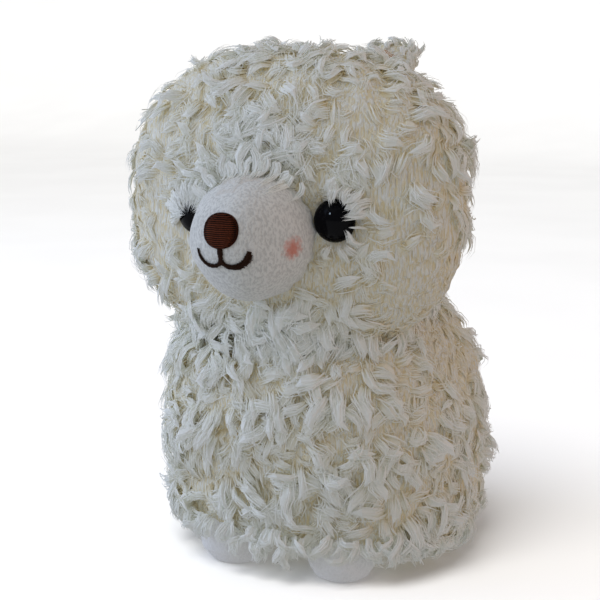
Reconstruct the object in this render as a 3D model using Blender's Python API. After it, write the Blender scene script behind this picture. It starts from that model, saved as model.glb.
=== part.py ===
"""Plush alpaca, sitting square on four short feet.

The toy faces -Y, its left side is +X and its soles stand on z = 0. Everything is in metres.
A curly fleece covers the head and the body, with a short-pile muzzle, feet and base between.
Each cover is a shell round its filling, and each piece is cut to the pieces that it is sewn to.
"""

import math
from dataclasses import dataclass

import bmesh
import bpy
from mathutils import Vector

# Clearances and cloth
SEAM_GAP = 0.0003
PILE_DEPTH = 0.008
HEM_PILE = 0.0057
SHORT_PILE = 0.0010
BASE_CLOTH = 0.0014

# Squareness of the rounded forms: in plan, then upright above and below the widest level
ROUND = (2.0, 2.0, 2.0)
SOFT = (2.2, 2.2, 2.2)

# Body
BODY_HALF_WIDTH = 0.049
BODY_FRONT = 0.043
BODY_BACK = 0.0605
BODY_ABOVE = 0.051
BODY_BELOW = 0.039
BODY_FORWARD = 0.0005
BODY_SQUARENESS = (2.2, 2.15, 6.0)
HEM_HEIGHT = 0.0018
TOE_RECESS = 0.0065
LINING_RECESS = 0.0020

# Head
HEAD_HALF_WIDTH = 0.0535
HEAD_FRONT = 0.0215
HEAD_BACK = 0.045
HEAD_ABOVE = 0.044
HEAD_BELOW = 0.045
HEAD_FORWARD = 0.0210
HEAD_SQUARENESS = (2.05, 2.5, 2.5)
NECK_OVERLAP = 0.0285

# Curls of the fleece
CURL_WIDTH = 0.0140
CURL_DEPTH = 0.0030

# Muzzle, with the centre of its dome measured from the head's centre
MUZZLE_HALF_WIDTH = 0.0165
MUZZLE_HALF_HEIGHT = 0.0180
MUZZLE_LENGTH = 0.0190
MUZZLE_ROOT = 0.013
MUZZLE_CUFF = 0.008
MUZZLE_FORWARD = 0.0205
MUZZLE_DROP = 0.0075
MUZZLE_NECK = 0.009
MUZZLE_SQUARENESS = (2.1, 2.1, 2.1)

# Embroidery
NOSE_HALF_WIDTH = 0.0050
NOSE_HALF_HEIGHT = 0.0048
NOSE_RAISE = 0.0020
NOSE_STANDS_OUT = 0.0011
MOUTH_CORD = 0.0007
MOUTH_ARC = 0.0036
MOUTH_DROP = 0.0034
MOUTH_RISE = 0.0024
ARC_SHARE = 0.92
LIP_LENGTH = 0.0030
LIP_CORD = 0.00082

# Eyes
EYE_RADIUS = 0.0056
EYE_DEPTH = 0.0042
EYE_SPREAD = 0.0212
EYE_DROP = 0.0034
EYE_STANDS_OUT = 0.0032
EYE_HOLLOW = 0.0035
EYE_HOLLOW_WIDTH = 0.0110
STEM_RADIUS = 0.0018
STEM_END = 0.0020
WASHER_RADIUS = 0.0055
WASHER_THICKNESS = 0.0012

# Ears
EAR_HALF_WIDTH = 0.0095
EAR_HALF_DEPTH = 0.0055
EAR_HALF_HEIGHT = 0.0075
EAR_SPREAD = 0.0200
EAR_BEHIND = 0.0250
EAR_STANDS_UP = 0.0088
LINING_HALF_WIDTH = 0.0052
LINING_HALF_HEIGHT = 0.0050
LINING_HALF_DEPTH = 0.0016

# Feet
FOOT_HALF_WIDTH = 0.0105
FOOT_HALF_LENGTH = 0.0118
FOOT_ABOVE = 0.0080
FOOT_BELOW = 0.0105
FOOT_CENTRE = 0.0090
FRONT_FOOT_SPREAD = 0.0175
FRONT_FOOT_FORWARD = 0.0215
HIND_FOOT_SPREAD = 0.0200
HIND_FOOT_BACK = 0.0300

# Base panel
BASE_HALF_WIDTH = 0.0250
BASE_HALF_LENGTH = 0.0330
BASE_BACK = 0.0050

# Tail
TAIL_HALF_WIDTH = 0.0095
TAIL_HALF_LENGTH = 0.0075
TAIL_HALF_HEIGHT = 0.0085
TAIL_HEIGHT = 0.0340
TAIL_STANDS_OUT = 0.0030

# Fineness: squares along each side of a ball, and sides of a turned piece
FLEECE_CELLS = 12
LINING_CELLS = 4
MUZZLE_CELLS = 5
SMALL_CELLS = 4
FOOT_CELLS = 4
EYE_SIDES = 12
DOME_STEPS = 7
CORD_SIDES = 6
ARC_STEPS = 7

# Linear colours
FLEECE_COLOUR = (0.66, 0.62, 0.54, 1.0)
SHORT_PILE_COLOUR = (0.72, 0.71, 0.69, 1.0)
THREAD_COLOUR = (0.035, 0.018, 0.012, 1.0)
NOSE_COLOUR = (0.075, 0.028, 0.016, 1.0)
EYE_COLOUR = (0.006, 0.006, 0.007, 1.0)
WASHER_COLOUR = (0.75, 0.75, 0.73, 1.0)
LINING_COLOUR = (0.40, 0.27, 0.17, 1.0)
FILLING_COLOUR = (0.85, 0.85, 0.83, 1.0)


@dataclass
class Form:
    """A rounded solid: its centre, its reach to each side of it and how square it is."""

    centre: Vector
    low: tuple
    high: tuple
    squareness: tuple

    def plan_part(self, offset):
        """How far out an offset lies in plan, where one is the skin at the widest level."""
        plan = self.squareness[0]
        total = 0.0
        for part, low, high in zip(offset[:2], self.low, self.high):
            total += abs(part / (high if part > 0.0 else low)) ** plan
        return total ** (1.0 / plan)

    def upright_part(self, height):
        """How far up or down a height lies, and the squareness on that side."""
        if height > 0.0:
            return height / self.high[2], self.squareness[1]
        return -height / self.low[2], self.squareness[2]


def clear_scene():
    """Remove every object, so that the script can run again."""
    for thing in list(bpy.data.objects):
        bpy.data.objects.remove(thing, do_unlink=True)


def cloth(name, colour, roughness):
    """A plain material with one colour and one roughness."""
    material = bpy.data.materials.new(name)
    material.use_nodes = True
    shader = material.node_tree.nodes["Principled BSDF"]
    shader.inputs["Base Color"].default_value = colour
    shader.inputs["Roughness"].default_value = roughness
    shader.inputs["Metallic"].default_value = 0.0
    material.diffuse_color = colour
    return material


def symmetric_form(centre, half_width, half_depth, half_height, squareness):
    """A form with the same reach on both sides of its centre."""
    reach = (half_width, half_depth, half_height)
    return Form(Vector(centre), reach, reach, squareness)


def inset(form, side, floor):
    """A form drawn in by `side` all round, but only by `floor` at its underside."""
    low = (form.low[0] - side, form.low[1] - side, form.low[2] - floor)
    high = tuple(reach - side for reach in form.high)
    return Form(form.centre, low, high, form.squareness)


def reach_along(form, way):
    """Distance from a form's centre to its skin along the unit vector `way`.

    The skin is where plan part ** upright squareness + upright part ** the same is one.
    """
    rise, upright = form.upright_part(way.z)
    return (form.plan_part(way) ** upright + rise ** upright) ** (-1.0 / upright)


def skin_front(form, x, z):
    """Y of a form's front skin at the given x and z."""
    rise, upright = form.upright_part(z - form.centre.z)
    level = max(0.0, 1.0 - rise ** upright) ** (1.0 / upright)
    x_part = abs(x - form.centre.x) / form.high[0]
    plan = form.squareness[0]
    return form.centre.y - form.low[1] * max(0.0, level ** plan - x_part ** plan) ** (1.0 / plan)


def skin_back(form, z):
    """Y of a form's back skin in its middle plane at the given z."""
    rise, upright = form.upright_part(z - form.centre.z)
    return form.centre.y + form.high[1] * max(0.0, 1.0 - rise ** upright) ** (1.0 / upright)


def skin_top(form, x, y):
    """Z of a form's top skin at the given x and y."""
    upright = form.squareness[1]
    out = form.plan_part((x - form.centre.x, y - form.centre.y))
    return form.centre.z + form.high[2] * max(0.0, 1.0 - out ** upright) ** (1.0 / upright)


def even_directions(count):
    """Unit vectors spread evenly over a sphere along a golden-angle spiral."""
    golden_angle = math.pi * (3.0 - math.sqrt(5.0))
    ways = []
    for index in range(count):
        height = 1.0 - 2.0 * (index + 0.5) / count
        ring = math.sqrt(1.0 - height * height)
        turn = golden_angle * index
        ways.append(Vector((ring * math.cos(turn), ring * math.sin(turn), height)))
    return ways


def curls(form, width, depth):
    """Relief of the fleece: a dome `width` across for each curl, `depth` deep between them."""
    radius = sum(form.low + form.high) / len(form.low + form.high)
    count = max(8, round(4.0 * math.pi * (radius / width) ** 2))
    tops = even_directions(count)
    half_spacing = math.sqrt(math.pi / count)

    def relief(way):
        nearest = min((way - top).length for top in tops)
        return -depth * min(1.0, (nearest / half_spacing) ** 2)

    return relief


def add_object(name, mesh, material):
    """Put a mesh into the scene as an object with one material."""
    thing = bpy.data.objects.new(name, mesh)
    bpy.context.scene.collection.objects.link(thing)
    mesh.materials.append(material)
    return thing


def ball(name, form, material, cells, grow=0.0, relief=None):
    """A ball of square cells pushed out to a form's skin, with extra reach and relief."""
    mesh = bpy.data.meshes.new(name)
    shell = bmesh.new()
    bmesh.ops.create_cube(shell, size=2.0)
    bmesh.ops.subdivide_edges(shell, edges=shell.edges[:], cuts=cells - 1, use_grid_fill=True)
    for vertex in shell.verts:
        evened = Vector([math.tan(part * math.pi / 4.0) for part in vertex.co])
        way = evened.normalized()
        distance = reach_along(form, way) + grow
        if relief:
            distance += relief(way)
        vertex.co = form.centre + way * distance
    bmesh.ops.triangulate(shell, faces=shell.faces[:], quad_method="FIXED")
    shell.to_mesh(mesh)
    shell.free()
    mesh.shade_smooth()
    return add_object(name, mesh, material)


def ring_surface(name, rings, material, closed_loop=False):
    """A surface through rings of points, capped at its ends or closed on itself."""
    mesh = bpy.data.meshes.new(name)
    shell = bmesh.new()
    loops = [[shell.verts.new(point) for point in ring] for ring in rings]
    pairs = list(zip(loops, loops[1:]))
    if closed_loop:
        pairs.append((loops[-1], loops[0]))
    for first, second in pairs:
        for here in range(len(first)):
            after = (here + 1) % len(first)
            shell.faces.new((first[here], first[after], second[after], second[here]))
    if not closed_loop:
        shell.faces.new(list(reversed(loops[0])))
        shell.faces.new(loops[-1])
    bmesh.ops.recalc_face_normals(shell, faces=shell.faces[:])
    shell.to_mesh(mesh)
    shell.free()
    mesh.shade_smooth()
    mesh.set_sharp_from_angle(angle=math.radians(40.0))
    return add_object(name, mesh, material)


def turned(name, profile, place, material, closed_loop=False):
    """A profile of (radius, distance back) pairs turned about the line through `place` along Y."""
    rings = []
    for radius, back in profile:
        ring = []
        for side in range(EYE_SIDES):
            turn = 2.0 * math.pi * side / EYE_SIDES
            around = Vector((radius * math.cos(turn), back, radius * math.sin(turn)))
            ring.append(Vector(place) + around)
        rings.append(ring)
    return ring_surface(name, rings, material, closed_loop)


def box(name, low, high, material):
    """An upright box between two corners."""
    rings = []
    for height in (low[2], high[2]):
        corners = ((low[0], low[1]), (high[0], low[1]), (high[0], high[1]), (low[0], high[1]))
        rings.append([Vector((x, y, height)) for x, y in corners])
    return ring_surface(name, rings, material)


def oval_plate(name, centre, half_width, half_length, low, high, material):
    """An upright oval plate between two heights."""
    sides = 4 * CORD_SIDES
    rings = []
    for height in (low, high):
        ring = []
        for side in range(sides):
            turn = 2.0 * math.pi * side / sides
            x = centre[0] + half_width * math.cos(turn)
            y = centre[1] + half_length * math.sin(turn)
            ring.append(Vector((x, y, height)))
        rings.append(ring)
    return ring_surface(name, rings, material)


def cord(name, path, radius, material):
    """A round cord along a path of points that runs across the muzzle's front."""
    rings = []
    for index, point in enumerate(path):
        before = path[max(index - 1, 0)]
        after = path[min(index + 1, len(path) - 1)]
        along = (after - before).normalized()
        outward = (Vector((0.0, -1.0, 0.0)) + along * along.y).normalized()
        across = along.cross(outward)
        ring = []
        for side in range(CORD_SIDES):
            turn = 2.0 * math.pi * side / CORD_SIDES
            ring.append(point + radius * (math.cos(turn) * outward + math.sin(turn) * across))
        rings.append(ring)
    return ring_surface(name, rings, material)


def guide(thing):
    """Mark an object as a guide that shapes its neighbours and isn't part of the toy."""
    thing.hide_render = True
    thing.display_type = "WIRE"
    return thing


def combine(thing, other, operation):
    """Add a live Boolean of `other` to an object."""
    modifier = thing.modifiers.new(f"{operation.lower()}_{other.name}", "BOOLEAN")
    modifier.operation = operation
    modifier.solver = "EXACT"
    modifier.object = other


def cut(thing, *rooms):
    """Cut the shape of each guide out of an object."""
    for room in rooms:
        combine(thing, room, "DIFFERENCE")


def join(thing, *additions):
    """Unite each guide with an object."""
    for addition in additions:
        combine(thing, addition, "UNION")


def body_form():
    """Outer form of the body's fleece, with its hem just clear of the floor."""
    centre = Vector((0.0, -BODY_FORWARD, HEM_HEIGHT + BODY_BELOW))
    low = (BODY_HALF_WIDTH, BODY_FRONT, BODY_BELOW)
    high = (BODY_HALF_WIDTH, BODY_BACK, BODY_ABOVE)
    return Form(centre, low, high, BODY_SQUARENESS)


def head_form(body):
    """Outer form of the head's fleece, set down on the body by the neck's overlap."""
    height = body.centre.z + body.high[2] - NECK_OVERLAP + HEAD_BELOW
    low = (HEAD_HALF_WIDTH, HEAD_FRONT, HEAD_BELOW)
    high = (HEAD_HALF_WIDTH, HEAD_BACK, HEAD_ABOVE)
    return Form(Vector((0.0, -HEAD_FORWARD, height)), low, high, HEAD_SQUARENESS)


def muzzle_form(head):
    """The muzzle's dome, with a shorter root behind it inside the head."""
    centre = head.centre + Vector((0.0, -MUZZLE_FORWARD, -MUZZLE_DROP))
    low = (MUZZLE_HALF_WIDTH, MUZZLE_LENGTH, MUZZLE_HALF_HEIGHT)
    high = (MUZZLE_HALF_WIDTH, MUZZLE_ROOT, MUZZLE_HALF_HEIGHT)
    return Form(centre, low, high, MUZZLE_SQUARENESS)


def eye_place(head, side):
    """Centre of an eye's bead, standing out of the hollow in the face."""
    place = head.centre + Vector((side * EYE_SPREAD, 0.0, -EYE_DROP))
    place.y = skin_front(head, place.x, place.z) + EYE_HOLLOW - EYE_STANDS_OUT + EYE_DEPTH
    return place


def ear_form(head, side):
    """An ear's leaf, seated in the fleece at the back of the crown."""
    place = head.centre + Vector((side * EAR_SPREAD, EAR_BEHIND, 0.0))
    place.z = skin_top(head, place.x, place.y) + EAR_STANDS_UP - EAR_HALF_HEIGHT
    return symmetric_form(place, EAR_HALF_WIDTH, EAR_HALF_DEPTH, EAR_HALF_HEIGHT, SOFT)


def lining_form(ear):
    """The lining in an ear's front face."""
    place = ear.centre + Vector((0.0, -ear.low[1] + LINING_HALF_DEPTH / 2.0, 0.0))
    half_sizes = (LINING_HALF_WIDTH, LINING_HALF_DEPTH, LINING_HALF_HEIGHT)
    return symmetric_form(place, *half_sizes, SOFT)


def foot_form(spread, back):
    """A foot, whose round underside is cut flat at the floor."""
    reach = (FOOT_HALF_WIDTH, FOOT_HALF_LENGTH)
    centre = Vector((spread, back, FOOT_CENTRE))
    return Form(centre, reach + (FOOT_BELOW,), reach + (FOOT_ABOVE,), SOFT)


def tail_form(body):
    """The tail, a small tuft seated in the back of the body."""
    place = Vector((0.0, 0.0, TAIL_HEIGHT))
    place.y = skin_back(body, TAIL_HEIGHT) + TAIL_STANDS_OUT - TAIL_HALF_LENGTH
    return symmetric_form(place, TAIL_HALF_WIDTH, TAIL_HALF_LENGTH, TAIL_HALF_HEIGHT, ROUND)


def hollowed_relief(relief, head):
    """The head's relief, drawn in round each eye."""
    ways = [(eye_place(head, side) - head.centre).normalized() for side in (-1, 1)]

    def with_hollows(way):
        total = relief(way)
        reach = reach_along(head, way)
        for eye_way in ways:
            distance = (way - eye_way).length * reach / EYE_HOLLOW_WIDTH
            total -= EYE_HOLLOW * math.exp(-distance * distance)
        return total

    return with_hollows


def toe_recess(depth):
    """Relief that draws a form in above the front feet, most at 45 degrees down and forward."""
    return lambda way: -2.0 * depth * max(0.0, -way.y) * max(0.0, -way.z)


def washer_near(head, side):
    """How far behind a bead's centre its washer lies, clear of the backing all round."""
    place = eye_place(head, side)
    lining = inset(head, PILE_DEPTH, PILE_DEPTH)
    rim = WASHER_RADIUS + SEAM_GAP
    corners = [(place.x + across * rim, place.z + up * rim) for across in (-1, 1) for up in (-1, 1)]
    backing = max(skin_front(lining, x, z) for x, z in corners)
    return max(backing - place.y, EYE_DEPTH) + 2.0 * SEAM_GAP


def eye_profile(head, side, grow):
    """Bead and stem of an eye as (radius, distance back) pairs, grown by a clearance."""
    depth = EYE_DEPTH + grow
    radius = EYE_RADIUS + grow
    stem = STEM_RADIUS + grow
    last_turn = math.pi - math.asin(stem / radius)
    profile = []
    for step in range(1, DOME_STEPS + 1):
        turn = last_turn * step / DOME_STEPS
        profile.append((radius * math.sin(turn), -depth * math.cos(turn)))
    stem_end = washer_near(head, side) + WASHER_THICKNESS + STEM_END
    profile.append((stem, stem_end + grow))
    return profile


def make_eye(head, side, label, material):
    """An eye's glossy bead with its ribbed stem left plain."""
    return turned(f"eye_{label}", eye_profile(head, side, 0.0), eye_place(head, side), material)


def make_eye_room(head, side, label, material):
    """Guide for the room that an eye takes in the fleece and the filling."""
    profile = eye_profile(head, side, SEAM_GAP)
    return guide(turned(f"eye_room_{label}", profile, eye_place(head, side), material))


def washer_profile(head, side, grow):
    """A washer's section as a closed loop, just behind the fleece's backing."""
    near = washer_near(head, side)
    far = near + WASHER_THICKNESS
    bore = STEM_RADIUS + SEAM_GAP
    corners = [(bore, far + grow), (bore, near - grow)]
    return corners + [(WASHER_RADIUS + grow, near - grow), (WASHER_RADIUS + grow, far + grow)]


def make_washer(head, side, label, material):
    """The lock washer that holds an eye's stem behind the fleece."""
    profile = washer_profile(head, side, 0.0)
    return turned(f"eye_washer_{label}", profile, eye_place(head, side), material, True)


def make_washer_room(head, side, label, material):
    """Guide for the room that a washer takes in the filling."""
    profile = washer_profile(head, side, SEAM_GAP)[2:]
    near_ring = (STEM_RADIUS, profile[0][1])
    far_ring = (STEM_RADIUS, profile[1][1])
    corners = [near_ring, profile[0], profile[1], far_ring]
    return guide(turned(f"washer_room_{label}", corners, eye_place(head, side), material))


def nose_form(muzzle):
    """The embroidered nose, a round pad on the front of the muzzle."""
    place = muzzle.centre + Vector((0.0, 0.0, NOSE_RAISE))
    place.y = skin_front(muzzle, place.x, place.z)
    return symmetric_form(place, NOSE_HALF_WIDTH, NOSE_STANDS_OUT, NOSE_HALF_HEIGHT, SOFT)


def lip_top(nose):
    """Height where the lip's line leaves the nose."""
    return nose.centre.z - nose.low[2] - SEAM_GAP


def mouth_paths(muzzle, nose):
    """The lip's line and the two arcs of the mouth, laid on the muzzle's skin."""
    join_height = lip_top(nose) - LIP_LENGTH
    flat_paths = [[(0.0, lip_top(nose) - LIP_LENGTH * step / 3.0) for step in range(4)]]
    flat_paths[0].append((0.0, join_height - 2.0 * MOUTH_CORD))
    for side in (-1, 1):
        arc = []
        for step in range(ARC_STEPS):
            turn = math.pi * ARC_SHARE * (1.0 - step / (ARC_STEPS - 1))
            x = side * MOUTH_ARC * (1.0 + math.cos(turn))
            lift = MOUTH_RISE * (1.0 - turn / math.pi)
            arc.append((x, join_height + lift - MOUTH_DROP * math.sin(turn)))
        flat_paths.append(arc)
    paths = []
    for flat in flat_paths:
        paths.append([Vector((x, skin_front(muzzle, x, z) - SEAM_GAP, z)) for x, z in flat])
    return paths


def make_mouth(muzzle, nose, muzzle_room, material):
    """The embroidered mouth: the lip's line joined to an arc on each side."""
    names = ("mouth_embroidery", "mouth_arc_right", "mouth_arc_left")
    radii = (LIP_CORD, MOUTH_CORD, MOUTH_CORD)
    pieces = [cord(name, path, radius, material)
              for name, path, radius in zip(names, mouth_paths(muzzle, nose), radii)]
    join(pieces[0], guide(pieces[1]), guide(pieces[2]))
    cut(pieces[0], muzzle_room)
    return pieces[0]


def make_ear(head, side, label, fleece, lining_cloth):
    """An ear and its lining, with the guides for their rooms in the head."""
    form = ear_form(head, side)
    folds = curls(form, CURL_WIDTH / 2.0, CURL_DEPTH / 4.0)
    ear = ball(f"ear_{label}", form, fleece, SMALL_CELLS, relief=folds)
    room = ball(f"ear_room_{label}", form, fleece, SMALL_CELLS, SEAM_GAP, folds)
    patch = lining_form(form)
    ball(f"ear_lining_{label}", patch, lining_cloth, 3)
    pocket = ball(f"lining_room_{label}", patch, lining_cloth, 3, SEAM_GAP)
    cut(ear, guide(pocket))
    return [guide(room), pocket]


def make_foot(label, spread, back, ground, pile):
    """A stuffed foot with its flat sole, and the guide for its room in the body."""
    form = foot_form(spread, back)
    foot = ball(f"foot_{label}", form, pile, FOOT_CELLS)
    cut(foot, ground)
    return guide(ball(f"foot_room_{label}", form, pile, FOOT_CELLS, SEAM_GAP))


def make_base(body, pile, foot_rooms):
    """The base panel between the feet, and the guide for its opening in the fleece."""
    centre = (0.0, body.centre.y + BASE_BACK)
    high = body.centre.z - body.low[2] + HEM_PILE
    panel = oval_plate("base_panel", centre, BASE_HALF_WIDTH, BASE_HALF_LENGTH,
                       high - BASE_CLOTH, high, pile)
    cut(panel, *foot_rooms)
    room = oval_plate("base_room", centre, BASE_HALF_WIDTH + SEAM_GAP,
                      BASE_HALF_LENGTH + SEAM_GAP, -HEM_HEIGHT, high + PILE_DEPTH, pile)
    return guide(room)


def build():
    """Make every piece, from the body up to the face."""
    clear_scene()
    fleece = cloth("curly_fleece", FLEECE_COLOUR, 0.95)
    pile = cloth("short_pile", SHORT_PILE_COLOUR, 0.9)
    thread = cloth("mouth_thread", THREAD_COLOUR, 0.6)
    nose_thread = cloth("nose_thread", NOSE_COLOUR, 0.55)
    bead = cloth("eye_plastic", EYE_COLOUR, 0.05)
    washer_plastic = cloth("washer_plastic", WASHER_COLOUR, 0.4)
    lining_cloth = cloth("ear_lining", LINING_COLOUR, 0.9)
    filling = cloth("fibre_filling", FILLING_COLOUR, 1.0)

    body = body_form()
    head = head_form(body)
    muzzle = muzzle_form(head)
    body_inside = inset(body, PILE_DEPTH, HEM_PILE)
    head_inside = inset(head, PILE_DEPTH, PILE_DEPTH)
    body_curls = curls(body, CURL_WIDTH, CURL_DEPTH)
    head_curls = hollowed_relief(curls(head, CURL_WIDTH, CURL_DEPTH), head)

    over_toes = toe_recess(TOE_RECESS)
    lining_recess = toe_recess(LINING_RECESS)

    def body_relief(way):
        return body_curls(way) + over_toes(way)

    ground_reach = 2.0 * BODY_BACK
    ground = guide(box("ground", (-ground_reach, -ground_reach, -ground_reach),
                       (ground_reach, ground_reach, 0.0), pile))
    stations = {
        "front_left": (FRONT_FOOT_SPREAD, -FRONT_FOOT_FORWARD),
        "front_right": (-FRONT_FOOT_SPREAD, -FRONT_FOOT_FORWARD),
        "hind_left": (HIND_FOOT_SPREAD, HIND_FOOT_BACK),
        "hind_right": (-HIND_FOOT_SPREAD, HIND_FOOT_BACK),
    }
    foot_rooms = [make_foot(label, spread, back, ground, pile)
                  for label, (spread, back) in stations.items()]
    base_room = make_base(body, pile, foot_rooms)

    tail = tail_form(body)
    tail_curls = curls(tail, CURL_WIDTH / 2.0, CURL_DEPTH / 4.0)
    ball("tail", tail, fleece, SMALL_CELLS, relief=tail_curls)
    tail_room = guide(ball("tail_room", tail, fleece, SMALL_CELLS, SEAM_GAP, tail_curls))

    body_void = guide(ball("body_void", body_inside, filling, LINING_CELLS, relief=lining_recess))
    head_void = guide(ball("head_void", head_inside, filling, LINING_CELLS))
    head_room = guide(ball("head_room", head, fleece, FLEECE_CELLS, SEAM_GAP, head_curls))
    muzzle_room = guide(ball("muzzle_room", muzzle, pile, MUZZLE_CELLS, SEAM_GAP))

    body_fleece = ball("body_fleece", body, fleece, FLEECE_CELLS, relief=body_relief)
    cut(body_fleece, body_void, head_room, base_room, tail_room, *foot_rooms)

    ear_rooms = []
    eye_rooms = []
    washer_rooms = []
    for side, label in ((1, "left"), (-1, "right")):
        ear_rooms.extend(make_ear(head, side, label, fleece, lining_cloth))
        make_eye(head, side, label, bead)
        make_washer(head, side, label, washer_plastic)
        eye_rooms.append(make_eye_room(head, side, label, bead))
        washer_rooms.append(make_washer_room(head, side, label, washer_plastic))

    head_fleece = ball("head_fleece", head, fleece, FLEECE_CELLS, relief=head_curls)
    cut(head_fleece, head_void, body_void, muzzle_room, *ear_rooms, *eye_rooms)

    muzzle_cover = ball("muzzle_cover", muzzle, pile, MUZZLE_CELLS)
    muzzle_hollow = guide(ball("muzzle_hollow", muzzle, pile, MUZZLE_CELLS - 1, -SHORT_PILE))
    cuff_plane = muzzle.centre.y + MUZZLE_CUFF
    wide = 2.0 * MUZZLE_HALF_HEIGHT
    cuff = guide(box("muzzle_cuff", (-wide, cuff_plane, muzzle.centre.z - wide),
                     (wide, cuff_plane + wide, muzzle.centre.z + wide), pile))
    cut(muzzle_cover, muzzle_hollow, cuff)

    nose = nose_form(muzzle)
    nose_pad = ball("nose_embroidery", nose, nose_thread, SMALL_CELLS)
    cut(nose_pad, muzzle_room)
    make_mouth(muzzle, nose, muzzle_room, thread)

    head_stuffing = ball("head_stuffing", head_inside, filling, LINING_CELLS, -SEAM_GAP)
    muzzle_fill = guide(ball("muzzle_fill", muzzle, filling, MUZZLE_CELLS - 1,
                             -SHORT_PILE - SEAM_GAP))
    neck_profile = [(MUZZLE_NECK, 0.0), (MUZZLE_NECK, MUZZLE_ROOT + PILE_DEPTH)]
    muzzle_neck = guide(turned("muzzle_neck", neck_profile, muzzle.centre, filling))
    cut(head_stuffing, muzzle_room, *ear_rooms)
    join(head_stuffing, muzzle_fill, muzzle_neck)
    cut(head_stuffing, *eye_rooms, *washer_rooms)

    body_stuffing = ball("body_stuffing", body_inside, filling, LINING_CELLS, -SEAM_GAP,
                         lining_recess)
    cut(body_stuffing, head_void, tail_room, *foot_rooms)


build()
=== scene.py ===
"""Plush alpaca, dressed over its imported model: locks of curly fleece, a short-pile muzzle and bead eyes.

The toy faces -Y, its left side is +X and its soles stand on z = 0. Everything is in metres.
Each shape is worked out with numpy as a surface of two parameters or a profile along a path.
"""
import math

import bpy
import numpy as np
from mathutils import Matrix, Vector


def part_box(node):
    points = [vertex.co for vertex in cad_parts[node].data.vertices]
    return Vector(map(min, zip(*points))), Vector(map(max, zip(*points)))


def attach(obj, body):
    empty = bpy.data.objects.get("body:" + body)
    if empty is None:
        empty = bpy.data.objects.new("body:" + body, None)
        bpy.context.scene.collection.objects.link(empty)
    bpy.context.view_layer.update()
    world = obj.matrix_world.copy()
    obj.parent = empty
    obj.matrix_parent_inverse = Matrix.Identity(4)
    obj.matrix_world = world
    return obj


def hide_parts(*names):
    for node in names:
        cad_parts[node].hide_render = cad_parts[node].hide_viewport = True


bl_info = {
    "name": "Plush Alpaca Dressing",
    "version": (1, 0, 0),
    "blender": (4, 5, 0),
    "location": "3D View > Sidebar > Plush",
    "description": "Dresses the packed plush alpaca with fleece, short pile, thread and bead eyes",
    "category": "Object",
}

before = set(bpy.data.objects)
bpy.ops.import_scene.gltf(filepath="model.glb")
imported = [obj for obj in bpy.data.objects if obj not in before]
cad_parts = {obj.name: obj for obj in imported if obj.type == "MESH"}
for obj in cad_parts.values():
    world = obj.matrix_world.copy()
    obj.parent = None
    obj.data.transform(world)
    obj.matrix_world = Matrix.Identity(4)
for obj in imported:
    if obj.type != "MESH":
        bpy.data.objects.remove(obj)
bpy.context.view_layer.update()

MM = 0.001
FULL_TURN = 2.0 * math.pi
GOLDEN_ANGLE = math.pi * (3.0 - math.sqrt(5.0))

# Levels and reaches of the toy's main forms, as its source gives them
BODY_CENTRE = (0.0, -0.0005, 0.0408)
BODY_LOW = (0.049, 0.043, 0.039)
BODY_HIGH = (0.049, 0.0605, 0.051)
BODY_SQUARENESS = (2.2, 2.15, 6.0)
HEM_LOW = (0.0475, 0.0410, 0.0385)
HEM_HIGH = (0.0475, 0.0590, 0.0510)
TOE_RECESS = 0.0065
HEAD_CENTRE = (0.0, -0.0210, 0.1083)
HEAD_LOW = (0.0535, 0.0215, 0.045)
HEAD_HIGH = (0.0535, 0.045, 0.044)
HEAD_SQUARENESS = (2.05, 2.5, 2.5)
EYE_HOLLOW = 0.0035
EYE_HOLLOW_WIDTH = 0.0110
EYE_RADIUS = 0.0059
EYE_DEPTH = 0.0042
MUZZLE_CENTRE = (0.0, -0.0415, 0.1008)
MUZZLE_LOW = (0.0165, 0.0190, 0.0180)
MUZZLE_HIGH = (0.0165, 0.0130, 0.0160)
MUZZLE_SQUARENESS = (2.1, 2.1, 2.1)
MUZZLE_CUFF = 0.008
SOFT = (2.2, 2.2, 2.2)
ROUND = (2.0, 2.0, 2.0)
FORWARD = (0.0, -1.0, 0.0)
NECK_CENTRE = (0.0, -0.0090, 0.0760)
HEAD_CORNER = (-0.032, -0.010, 0.138)
NECK_LOW = (0.0385, 0.0310, 0.0240)
NECK_HIGH = (0.0385, 0.0375, 0.0240)
FOOT_CENTRE_HEIGHT = 0.0090
FOOT_LOW = (0.0105, 0.0118, 0.0105)
FOOT_HIGH = (0.0105, 0.0118, 0.0080)
FEET = {
    "foot_front_left": (0.0175, -0.0215),
    "foot_front_right": (-0.0175, -0.0215),
    "foot_hind_left": (0.0200, 0.0300),
    "foot_hind_right": (-0.0200, 0.0300),
}
BLUSH_PLACE = (0.0156, -0.0490, 0.0986)
NOSE_HEIGHT = 0.1036
NOSE_HALF_WIDTH = 0.0049
NOSE_HALF_HEIGHT = 0.0044

# Backing of the fleece and the locks' roots, below the locks' tops
BACKING_DEPTH = 0.0034
ROOT_DEPTH = 0.0052
# Depth over which the fleece's colour fades to the roots' warm tint and painted shade
PILE_SHADE_DEPTH = 0.0048
BACKING_LIFT = 0.0014
BACKING_FUZZ = 0.0005
BACKING_FUZZ_SIZE = 0.009

# The working out: area of a ball of radius one, a small step over a skin, the ways tried when
# roots are scattered, how far a root strays from its place, and the points of a lock's path
BALL_AREA = 4.0 * math.pi
SMALL_STEP = 1e-3
TRIAL_WAYS = 4000
ROOT_JITTER = 0.33
PATH_POINTS = 12

# Height in the pile: how much of it comes from the depth and from the share along the lock.
# The fleece's colour follows it: deep in the pile it turns to the roots' tint and painted shade
HEIGHT_FROM_DEPTH = 0.72
HEIGHT_FROM_LENGTH = 0.28
TALLEST = 1.2

# A lock's core: its sides and levels, its width, thickness and length as shares of the lock's,
# and how far it lies below the lock's middle
CORE_SIDES = 4
CORE_LEVELS = 4
CORE_WIDTH = 0.76
CORE_THICKNESS = 0.56
CORE_LENGTH = 0.86
CORE_SINK = 0.3

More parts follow.
